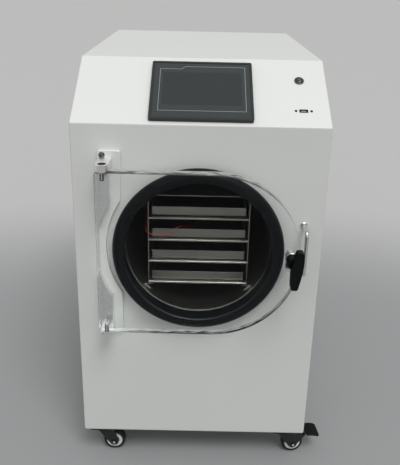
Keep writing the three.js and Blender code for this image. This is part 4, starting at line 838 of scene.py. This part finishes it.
# ---- tray rack
def tray(node):
    """Pressed tray: a rim turned out flat, leaning walls and a round bend into the floor."""
    low, high = span(node)
    rim, corner = 2.5, 5
    bend_radius = 3

    def ring(inset, corner, z):
        return [Vector((x, y, z)) for x, y in rounded(low.x + inset, low.y + inset, high.x - inset,
                                                      high.y - inset, corner, 8)]

    def wall(inset, floor, radius):
        turns = [math.radians(90 * i / 4) for i in range(5)]
        return [ring(inset + radius * (1 - math.cos(t)), corner - rim, floor + radius * (1 - math.sin(t)))
                for t in turns]

    sheet = TRAY_SHEET
    inner = wall(rim + sheet, low.z + sheet, bend_radius - sheet)
    outer = wall(rim, low.z, bend_radius)
    under, bead = high.z - sheet, corner - rim
    rings = [*reversed(outer), ring(rim, bead, under), ring(0.2, corner, under),
             ring(0, corner, high.z - sheet / 2), ring(0.2, corner, high.z), ring(rim, bead, high.z),
             ring(rim + sheet, bead, high.z - 1), *inner]
    add("fine_" + node, loft(rings), "stainless", node, material=SHADED_TRAY_STEEL)


def rack():
    levels = ["rack_top", "shelf_1", "shelf_2", "shelf_3", "shelf_4"]
    for node in ["rack_side_left", "rack_side_right", *levels]:
        refined(node, 0.35, material=SHADED_RACK_STEEL)
    for i in range(1, 5):
        tray(f"tray_{i}")
    beads = []
    for node in levels:
        low, high = span(node)
        for x in (low.x, high.x):
            for y in (low.y + 1, high.y - 1):
                beads.append(Matrix.Translation((x, y, high.z - 2)) @ Matrix.Diagonal((1.4, 1, 1.4, 1)))
    bead = bmesh.new()
    bmesh.ops.create_icosphere(bead, subdivisions=2, radius=1.3)
    add("rack_welds", copies(bead, beads), "stainless", body="cabinet", material=SHADED_RACK_STEEL)


# ---- hinge and door
def socket_screw(radius, height):
    """Button head with a hexagon socket, standing on its drawing plane."""
    head = lathe([(0, 0), (radius, 0), (radius, 0.35 * height), (0.8 * radius, 0.85 * height),
                  (0.62 * radius, height), (0, height)], LEVEL, 40)
    return cut(head, slab(circle(0.5 * radius, 6), height, raised(LEVEL, 0.3 * height)))


END_NAME = {1: "top", -1: "bottom"}
UPSIDE_DOWN = Matrix.Translation((0, 0, 2 * AXIS_Z)) @ Matrix.Diagonal((1, 1, -1, 1))


def on_pivot(height):
    """A drawing frame on the hinge's axis, at a height above the drum's axis."""
    return placed(LEVEL, PIVOT_X, PIVOT_Y, AXIS_Z + height)


def bracket(side):
    """Satin block on the hinge plate, with the round ear that holds the pivot pin."""
    node = "hinge_bracket_" + END_NAME[side]
    low, high = span(node)
    half = (high.x - low.x) / 2
    reach = max(high.z - AXIS_Z, AXIS_Z - low.z)
    thickness = reach - EAR_Z
    middle = PIVOT_X + PAD_SHIFT
    right, left = [math.sqrt(HINGE_RELIEF ** 2 - (middle + x) ** 2) for x in (half, -half)]
    turns = [math.degrees(math.atan2(z, middle + x)) for x, z in ((-half, left), (half, right))]
    hollow = [(x - middle, z) for x, z in arc(0, 0, HINGE_RELIEF, *turns, 24)]
    corner = 2
    outline = [*hollow, *arc(half - corner, reach - corner, corner, 0, 90, 5),
               *arc(corner - half, reach - corner, corner, 90, 180, 5)]
    door_sweep = math.hypot(PIVOT_INSET, HALF_PANE)
    depth = high.y - PIVOT_Y - door_sweep - PAD_CLEAR
    pad = slab(outline, depth, placed(FRONTAL, middle, high.y, AXIS_Z), 1)
    boss = [(half, high.y - PIVOT_Y), (-half, high.y - PIVOT_Y), *arc(0, 0, half, 180, 360, 32)]
    rounding = 4 if thickness > 12 else 2.5
    ear = slab(boss, thickness, on_pivot(EAR_Z), rounding, (), 5)
    bore = cylinder(PIN_HEAD + FIT, 3 * CUTTER, on_pivot(EAR_Z - CUTTER))
    mouth = cylinder(PIN_HEAD + 2, 2 * CUTTER, on_pivot(EAR_Z + thickness - PIN_RECESS))
    whole = cut(joined(pad, ear), bore, mouth)
    if side < 0:
        whole.transform(UPSIDE_DOWN)
    whole.normal_update()
    for face in whole.faces:
        centre = face.calc_center_median()
        from_pin = math.hypot(centre.x - PIVOT_X, centre.y - PIVOT_Y)
        # faces of the bore round the pin head are black, a painted shade in the hole
        if from_pin < PIN_HEAD + 2.3 and abs(face.normal.z) < 0.5:
            face.material_index = 2
        # the upper bracket's upward faces take the brighter steel, a painted highlight
        elif side > 0 and face.normal.z > 0.6:
            face.material_index = 1
    add("fine_" + node, whole, "bright_steel", node, material=SATIN_STEEL,
        others=(PAINTED_HIGHLIGHT_TOP, FINISH["black_steel"]))
    pivot_pin(side, EAR_Z + thickness - PIN_RECESS)


def pivot_pin(side, outer):
    """Stepped pin with a hexagon socket in its outer end, whose distance from the axis is given."""
    inner, edge = DOOR_RADIUS - PIN_DEPTH, 0.6
    pin = lathe([(0, inner), (PIN_RADIUS - edge, inner), (PIN_RADIUS, inner + edge), (PIN_RADIUS, EAR_Z),
                 (PIN_HEAD, EAR_Z), (PIN_HEAD, outer - edge), (PIN_HEAD - edge, outer), (0, outer)],
                on_pivot(0), 40)
    pin = cut(pin, slab(circle(3, 6), 4, on_pivot(outer - 3)))
    if side < 0:
        pin.transform(UPSIDE_DOWN)
    # the head's faces beyond the pane are black, a painted shade in the ear's hole
    for face in pin.faces:
        face.material_index = 1 if abs(face.calc_center_median().z - AXIS_Z) > DOOR_RADIUS else 0
    name = "pivot_pin_" + END_NAME[side]
    add("fine_" + name, pin, "bright_steel", name, others=(FINISH["black_steel"],))


def door():
    """Clear D-shaped pane with polished, slightly broken edges."""
    centre = PANE_HIGH.x - DOOR_RADIUS
    corner = 4
    outline = [*arc(centre, 0, DOOR_RADIUS, -90, 90, 72),
               *arc(PANE_LOW.x + corner, DOOR_RADIUS - corner, corner, 90, 180, 6),
               *arc(PANE_LOW.x + corner, corner - DOOR_RADIUS, corner, 180, 270, 6)]
    latch_hole = circle(SLEEVE_RADIUS + FIT, 40, SPINDLE_X, SPINDLE_Z - AXIS_Z)
    pane = slab(outline, 2 * HALF_PANE, placed(FRONTAL, 0, DOOR_BACK, AXIS_Z), 1.1, [latch_hole])
    for side in (-1, 1):
        bottom = min(side * (DOOR_RADIUS - PIN_DEPTH - 1), side * (DOOR_RADIUS + 1))
        pane = cut(pane, cylinder(PIN_RADIUS + FIT, PIN_DEPTH + 2, on_pivot(bottom), 32))
    pane.normal_update()
    for face in pane.faces:
        # clear front and back; edge faces frosted with painted glints and a painted shade along the front;
        # rounded arrises in a painted dark shade
        lean = abs(face.normal.y)
        face.material_index = 0 if lean > 0.95 else 1 if lean < 0.3 else 2
    add("fine_pane", pane, "clear_acrylic", "door_pane", others=(FROSTED_EDGE_AND_GLINTS, PAINTED_ARRIS_SHADE))


def hinge():
    refined("hinge_plate", 0.8, 3)
    face = span("hinge_plate")[0].y
    places = [placed(FRONTAL, PIVOT_X - 6, face, AXIS_Z + side * HINGE_SCREW_Z) for side in (-1, 1)]
    add("hinge_screws", copies(socket_screw(6, 4), places), "bright_steel", body="cabinet",
        material=DARK_CHROME)
    for side in (-1, 1):
        bracket(side)


# ---- latch
AT_SPINDLE = placed(FRONTAL, SPINDLE_X, PIVOT_Y, SPINDLE_Z)
FLANGE = 2  # thickness of the bush's flange, on the front of the pane
LEVER_THICKNESS = 16
LEVER_LENGTH = 78.5
LEVER_RISE = 29.5  # its upper end above the spindle
LEVER_WIDTH = 21
LEVER_END = 15  # its width at its ends
LEVER_OFFSET = 7  # its middle to the right of the spindle
LEVER_LEAN = 3.6  # its upper end right of that, its lower end left


def bush():
    """Sleeve through the pane, with a flange on the front."""
    bore, rim = SPINDLE_RADIUS + FIT, HUB_RADIUS + 1.5
    seat = HALF_PANE + FIT
    sleeve = lathe([(bore, -HALF_PANE), (SLEEVE_RADIUS, -HALF_PANE), (SLEEVE_RADIUS, seat), (rim, seat),
                    (rim, seat + FLANGE - 0.6), (rim - 0.6, seat + FLANGE), (bore, seat + FLANGE)],
                   AT_SPINDLE, 64)
    add("fine_bush", sleeve, "bright_steel", "latch_bush")


def handle():
    """Lever that narrows to both ends, on a round hub."""
    bore = SPINDLE_RADIUS + FIT
    back = HALF_PANE + FLANGE + 2 * FIT
    front = PIVOT_Y - span("door_handle")[0].y - LEVER_THICKNESS
    hub = lathe([(bore, back), (HUB_RADIUS, back), (HUB_RADIUS, front + 4), (bore, front + 4)],
                AT_SPINDLE, 64, 0.6)
    narrow = LEVER_END / 2
    wide = LEVER_WIDTH - narrow
    corner = 0.85 * narrow
    top = (LEVER_OFFSET + LEVER_LEAN, LEVER_RISE)
    bottom = (LEVER_OFFSET - LEVER_LEAN, LEVER_RISE - LEVER_LENGTH)
    outline = []
    for side, (x0, z0), (x1, z1) in ((-1, top, bottom), (1, bottom, top)):
        far0, far1 = x0 + side * narrow, x1 + side * narrow
        outline.append((far0 - side * corner, z0))
        outline += bend(outline[-1], (far0, z0), (far0, z0 + side * corner))
        outline += bend(outline[-1], (LEVER_OFFSET + side * wide, 0), (far1, z1 - side * corner), 20)
        outline += bend(outline[-1], (far1, z1), (far1 - side * corner, z1))
    lever = slab(outline, LEVER_THICKNESS, raised(AT_SPINDLE, front), 3, (), 4)
    add("fine_handle", merged(hub, lever), "black_moulding", "door_handle")


def tongue():
    """Blade behind the pane, on the lever's spindle, with the nut that holds it."""
    start = -HALF_PANE - FIT
    radius, reach, thickness = 8, 38, 5
    outline = [*arc(0, 0, radius, 0, 180, 16), *arc(0, radius - reach, radius, 180, 360, 16)]
    blade = slab(outline, thickness, raised(AT_SPINDLE, start - thickness), 0.7)
    low, high = start - 6, HALF_PANE + FLANGE + 15
    spindle = cylinder(SPINDLE_RADIUS, high - low, raised(AT_SPINDLE, low), 40, 0.3)
    nut = slab(circle(SPINDLE_RADIUS + 3, 6), 5, raised(AT_SPINDLE, start - 10), 0.5)
    add("fine_tongue", merged(blade, spindle, nut), "bright_steel", "latch_tongue")


def keeper():
    """Bent rod that stands out of the panel at both ends, each with a collar."""
    low, high = span("latch_keeper")
    x, _, middle = middle_of("latch_keeper")
    rod = (high.x - low.x) / 2
    y = low.y + rod
    side_z = (high.z - low.z) / 2 - rod
    corner = 8
    elbow = [(y + corner - a, side_z - corner + b) for a, b in arc(0, 0, corner, 90, 0, 6)]
    half_path = [(high.y, side_z), (high.y * 0.4, side_z), *elbow, (y, side_z - 2 * corner), (y, 10)]
    path = [(x, a, middle + b) for a, b in half_path]
    path += [(x, a, middle - b) for a, b in reversed(half_path)]
    collar = lathe([(rod, 0), (rod + 3, 0), (rod + 3, 1.2), (rod + 2, 2.2), (rod, 2.2)], LEVEL, 40)
    collars = copies(collar, [placed(FRONTAL, x, 0, middle + s * side_z) for s in (-1, 1)])
    add("fine_keeper", merged(tube(path, rod, 20, 3), collars), "bright_steel", "latch_keeper")


# ---- controls on the fascia
PANEL_WIDTH = 201
PANEL_HEIGHT = 155
PANEL_START = 8  # up the fascia from the fold
PANEL_PROUD = 8
PANEL_RIM = 5
PANEL_SINK = 1.6  # depth of the glass's recess
GLASS = 0.9
PRINT = 0.1  # thickness of the line and window on the glass
BUTTON_PLACE = (195, 122, 0)  # right of the middle, and up from the fold
CAP_RADIUS = 6
SOCKET_PLACE = (197.5, 41.5, 0)
SOCKET_WIDTH = 16.5
SOCKET_HEIGHT = 7.6
SOCKET_DEPTH = 16
SOCKET_SCREW = 15  # from the socket's middle


def touch_panel():
    """Rimmed housing with the glass sunk in it, and on the glass a line round a darker window."""
    x, low, high = PANEL_WIDTH / 2, PANEL_START, PANEL_START + PANEL_HEIGHT

    def inside(inset, radius):
        return rounded(inset - x, low + inset, x - inset, high - inset, radius)

    def stepped(x0, y0, x1, y1, tab):
        """A frame whose upper edge is lower left of the tab."""
        return [(x0, y0), (x1, y0), (x1, y1), (tab, y1), (tab - 7, y1 - 7), (x0, y1 - 7)]

    floor = FIT + PANEL_PROUD - PANEL_SINK
    body = slab(inside(0, 3.5), PANEL_PROUD, raised(ON_FASCIA, FIT), 1.8, (), 3)
    recess = slab(inside(PANEL_RIM, 2), 3, raised(ON_FASCIA, floor))
    case = slab(rectangle(7 - x, low + 7, x - 7, high - 7), 33, raised(ON_FASCIA, -32), 1)
    add("fine_panel_housing", joined(cut(body, recess), case), "black_bezel", "hmi_housing")

    lid = raised(ON_FASCIA, floor + 0.05)
    glass = slab(inside(PANEL_RIM + FIT, 1.5), GLASS, lid, 0.25)
    add("fine_panel_glass", glass, "screen", "hmi_glass")
    lifted = raised(lid, GLASS)
    line = slab(stepped(-84, 29, 86.5, 149, -34), PRINT, lifted, 0, [stepped(-83, 30, 85.5, 148, -33.6)])
    add("screen_line", line, "screen", body="cabinet", material=SCREEN_LINE)
    window = slab(rectangle(-77, 45, 79, 132), PRINT, lifted)
    add("screen_window", window, "screen", body="cabinet", material=SCREEN_WINDOW)


def power_button():
    """Round cap in a flanged bezel."""
    place = ON_FASCIA @ Matrix.Translation(BUTTON_PLACE)
    bore = CAP_RADIUS + FIT
    bezel = lathe([(bore, -22), (8, -22), (8, -5.3), (11.5, -5.3), (11.5, -2.3), (8, -2.3), (8, FIT),
                   (9.5, FIT), (9.5, 1.8), (9.1, 2.6), (8.3, 3), (bore + 0.7, 3), (bore, 2.4)], place, 64)
    add("fine_button_bezel", bezel, "bright_steel", "button_bezel", material=DARK_CHROME)
    crown = lathe([(0, -14), (CAP_RADIUS, -14), (CAP_RADIUS, 3.2), (CAP_RADIUS - 0.4, 3.9),
                   (CAP_RADIUS - 1.2, 4.2), (CAP_RADIUS - 2.4, 3.9), (2.4, 3.8), (0, 3.8)], place, 64)
    add("fine_button_cap", crown, "bright_steel", "button_cap", material=DARK_CHROME)


def socket():
    """Open shell with a flange behind the fascia, its tongue, and a screw on either side."""
    place = ON_FASCIA @ Matrix.Translation(SOCKET_PLACE)
    w, h, wall = SOCKET_WIDTH / 2, SOCKET_HEIGHT / 2, 1
    shell = slab(rounded(-w, -h, w, h, 0.8, 3), SOCKET_DEPTH + 0.8, raised(place, -SOCKET_DEPTH), 0.2)
    flange = slab(rounded(-w - 10, -h - 2, w + 10, h + 2, 2), 1.5, raised(place, -3.8))
    hollow = slab(rectangle(wall - w, wall - h, w - wall, h - wall), CUTTER,
                  raised(place, 1.5 - SOCKET_DEPTH))
    shell = cut(joined(shell, flange), hollow)
    add("fine_socket", shell, "bright_steel", "usb_socket", material=FINISH["black_steel"])
    blade = slab(rectangle(3 - w, 0, w - 3, 1.6), 14, raised(place, 1 - SOCKET_DEPTH), 0.2)
    add("socket_tongue", blade, "galvanised", body="cabinet", material=LIGHT_RING)
    places = [place @ Matrix.Translation((side * SOCKET_SCREW, 0, 0)) for side in (-1, 1)]
    add("socket_screws", copies(screw_head(2.6), places), "black_steel", body="cabinet")


# ---- castors
WHEEL_RADIUS = 25
WHEEL_HALF = 10
WHEEL_RECESS = 2.5
TRAIL = 22
CASTOR_INSET = 42  # of the swivel axes from the cabinet's sides
CASTOR_SETBACK = 32  # and from its front and rear
PLATE_HALF = 30
PLATE_SHEET = 2.5
PLATE_LOW = -FIT - PLATE_SHEET
BOLT_PLACE = 22.5  # from the swivel axis, both ways
KINGPIN_RADIUS = 5.6
KINGPIN_HOLE = 6.4
RACE_LOW = -10.8
AXLE_Z = WHEEL_RADIUS - BASE_HEIGHT
CROWN_TOP = -11.2
CROWN_RADIUS = 23
FORK_GAP = 11.5
FORK_SHEET = 2.5
FORK_OUTSIDE = FORK_GAP + FORK_SHEET
WASHER = 0.9
PEDAL_X = 46
PEDAL_Z = AXLE_Z + WHEEL_RADIUS + 2
PEDAL_END = PEDAL_X + 39.5
PEDAL_HALF = 19
PEDAL_CORNER = 13  # of the foot plate's outer corners
TURNED = Matrix.Rotation(math.pi, 4, "X")
CASTORS = [("front_left", -1, False, 0), ("front_right", 1, False, 7),
           ("rear_left", -1, True, 187), ("rear_right", 1, True, 180)]


def top_plate(name, base):
    """Plate under the cabinet, with its bolts and the race that the fork turns in."""
    plate = slab(rounded(-PLATE_HALF, -PLATE_HALF, PLATE_HALF, PLATE_HALF, 5), PLATE_SHEET,
                 raised(base, PLATE_LOW), 0.4, [circle(KINGPIN_HOLE, 32)])
    race = lathe([(KINGPIN_HOLE, PLATE_LOW), (19, PLATE_LOW), (20.5, PLATE_LOW - 0.6),
                  (22.6, RACE_LOW + 2.2), (CROWN_RADIUS, RACE_LOW + 1), (22.4, RACE_LOW),
                  (KINGPIN_HOLE, RACE_LOW)], base, 64)
    add("fine_plate_" + name, merged(plate, race), "black_steel", "castor_plate_" + name)
    bolt = merged(cylinder(6, 1, LEVEL, 32, 0.2), slab(circle(4.6, 6), 4, LEVEL, 0.5))
    places = [base @ Matrix.Translation((a * BOLT_PLACE, b * BOLT_PLACE, PLATE_LOW)) @ TURNED
              for a in (-1, 1) for b in (-1, 1)]
    add("plate_bolts_" + name, copies(bolt, places), "galvanised", body="cabinet")


def fork(name, swivel, braked):
    """Crown with a kingpin, and two legs; the legs of a braked castor also hold the pedal."""
    shoulder, pin_top = CROWN_TOP - 3, CROWN_TOP + 9.9
    crown = lathe([(0, pin_top), (KINGPIN_RADIUS, pin_top), (KINGPIN_RADIUS, CROWN_TOP), (21.5, CROWN_TOP),
                   (CROWN_RADIUS, CROWN_TOP - 1.2), (CROWN_RADIUS, shoulder), (0, shoulder)], swivel, 64)
    start, root = CROWN_TOP - 0.5, 0.72 * CROWN_RADIUS
    leg = [(-root, start)]
    leg += bend(leg[-1], (-2, AXLE_Z + 14), (TRAIL - 9, AXLE_Z - 4), 14)
    leg += arc(TRAIL, AXLE_Z, 9.8, 203, 360, 20)
    if braked:
        leg += [(PEDAL_X + 6, PEDAL_Z - 1), *arc(PEDAL_X, PEDAL_Z, 6, 0, 90, 8)]
        leg += [(0.9 * CROWN_RADIUS, start)]
    else:
        leg += bend(leg[-1], (TRAIL + 6, AXLE_Z + 22), (root, start), 14)
    pin_hole = [circle(3.1, 24, PEDAL_X, PEDAL_Z)] if braked else ()
    legs = [slab(leg, FORK_SHEET, raised(swivel @ FRONTAL, inner), 0.5, pin_hole)
            for inner in (-FORK_OUTSIDE, FORK_GAP)]
    add("fine_fork_" + name, merged(crown, *legs), "black_steel", "castor_fork_" + name)


def both_ways(axle):
    """The axle's drawing frame, and the same turned end for end."""
    return axle, axle @ TURNED


def axle_bolt(name, axle):
    """Rod through the fork and wheel, with a washer and nut at each end."""
    ends = []
    for facing in both_ways(axle):
        ends.append(cylinder(5.6, WASHER, raised(facing, FORK_OUTSIDE), 40, 0.2))
        ends.append(slab(circle(4.4, 6), 2.6, raised(facing, FORK_OUTSIDE + WASHER), 0.5))
    add("axle_nuts_" + name, merged(*ends), "black_steel", body="swivel_" + name)
    half = [(4, FORK_OUTSIDE - 0.1), (3, FORK_OUTSIDE), (3, FORK_OUTSIDE + 4),
            (2.4, FORK_OUTSIDE + 4.6), (0, FORK_OUTSIDE + 4.6)]
    profile = [(r, -h) for r, h in reversed(half)] + half
    add("axle_bolt_" + name, lathe(profile, axle, 40), "bright_steel", body="swivel_" + name)


def wheel(name, axle):
    """Tyre on a hub, with a pale ring in the recess of each flank."""
    half, floor = WHEEL_HALF, WHEEL_HALF - WHEEL_RECESS
    flank = [(4.5, half + 0.7), (9, half + 0.7), (9, floor), (18.4, floor), (19.2, half - 0.4),
             (20, half), (WHEEL_RADIUS - 2.5, half - 0.9), (WHEEL_RADIUS - 0.8, half - 2.8),
             (WHEEL_RADIUS, half - 5.5), (WHEEL_RADIUS, 0)]
    profile = flank + [(r, -h) for r, h in reversed(flank[:-1])]
    add("fine_wheel_" + name, lathe(profile, axle, 96), "tyre", "castor_wheel_" + name)
    ring = [(10.6, floor), (18.2, floor), (18.2, floor + 1), (17.4, floor + 2), (12, floor + 2),
            (10.6, floor + 0.6)]
    rings = [lathe(ring, facing, 96) for facing in both_ways(axle)]
    add("wheel_rings_" + name, merged(*rings), "galvanised", body="wheel_" + name, material=WHEEL_RING)


def brake_pedal(node, swivel):
    """The CAD's pedal, with the outer corners of its foot plate rounded."""
    pedal = of_node(node)
    far, radius = PEDAL_END, PEDAL_CORNER
    for side in (-1, 1):
        outside = [(far + 2, PEDAL_HALF + 2), (far - radius, PEDAL_HALF + 2),
                   *arc(far - radius, PEDAL_HALF - radius, radius, 90, 0, 10),
                   (far + 2, PEDAL_HALF - radius)]
        outside = [(x, side * y) for x, y in outside][::side]
        pedal = cut(pedal, slab(outside, 3 * CUTTER, raised(swivel, -3 * CUTTER)))
    add("fine_" + node, soften(pedal, 0.5), SLOT_OF[node], node)


def castor(name, side, rear, swing):
    pedal = "brake_pedal_" + name
    base = placed(LEVEL, side * (HALF_WIDTH - CASTOR_INSET),
                  DEPTH - CASTOR_SETBACK if rear else CASTOR_SETBACK, BASE_HEIGHT)
    swivel = base @ Matrix.Rotation(math.radians(swing), 4, "Z")
    axle = swivel @ Matrix.Translation((TRAIL, 0, AXLE_Z)) @ FRONTAL
    top_plate(name, base)
    fork(name, swivel, pedal in NODES)
    axle_bolt(name, axle)
    wheel(name, axle)
    if pedal in NODES:
        brake_pedal(pedal, swivel)


# ---- machinery
def machinery():
    refined("compressor", 1.5, 3)
    refined("condenser", 0.2, 1)
    refined("fan_shroud", 0.5)
    refined("fan_rotor", 0.3, 1)
    refined("control_box", 0.6)
    refined("power_inlet", 0.4)


cabinet()
chamber()
rack()
hinge()
door()
bush()
handle()
tongue()
keeper()
touch_panel()
power_button()
socket()
for one in CASTORS:
    castor(*one)
machinery()
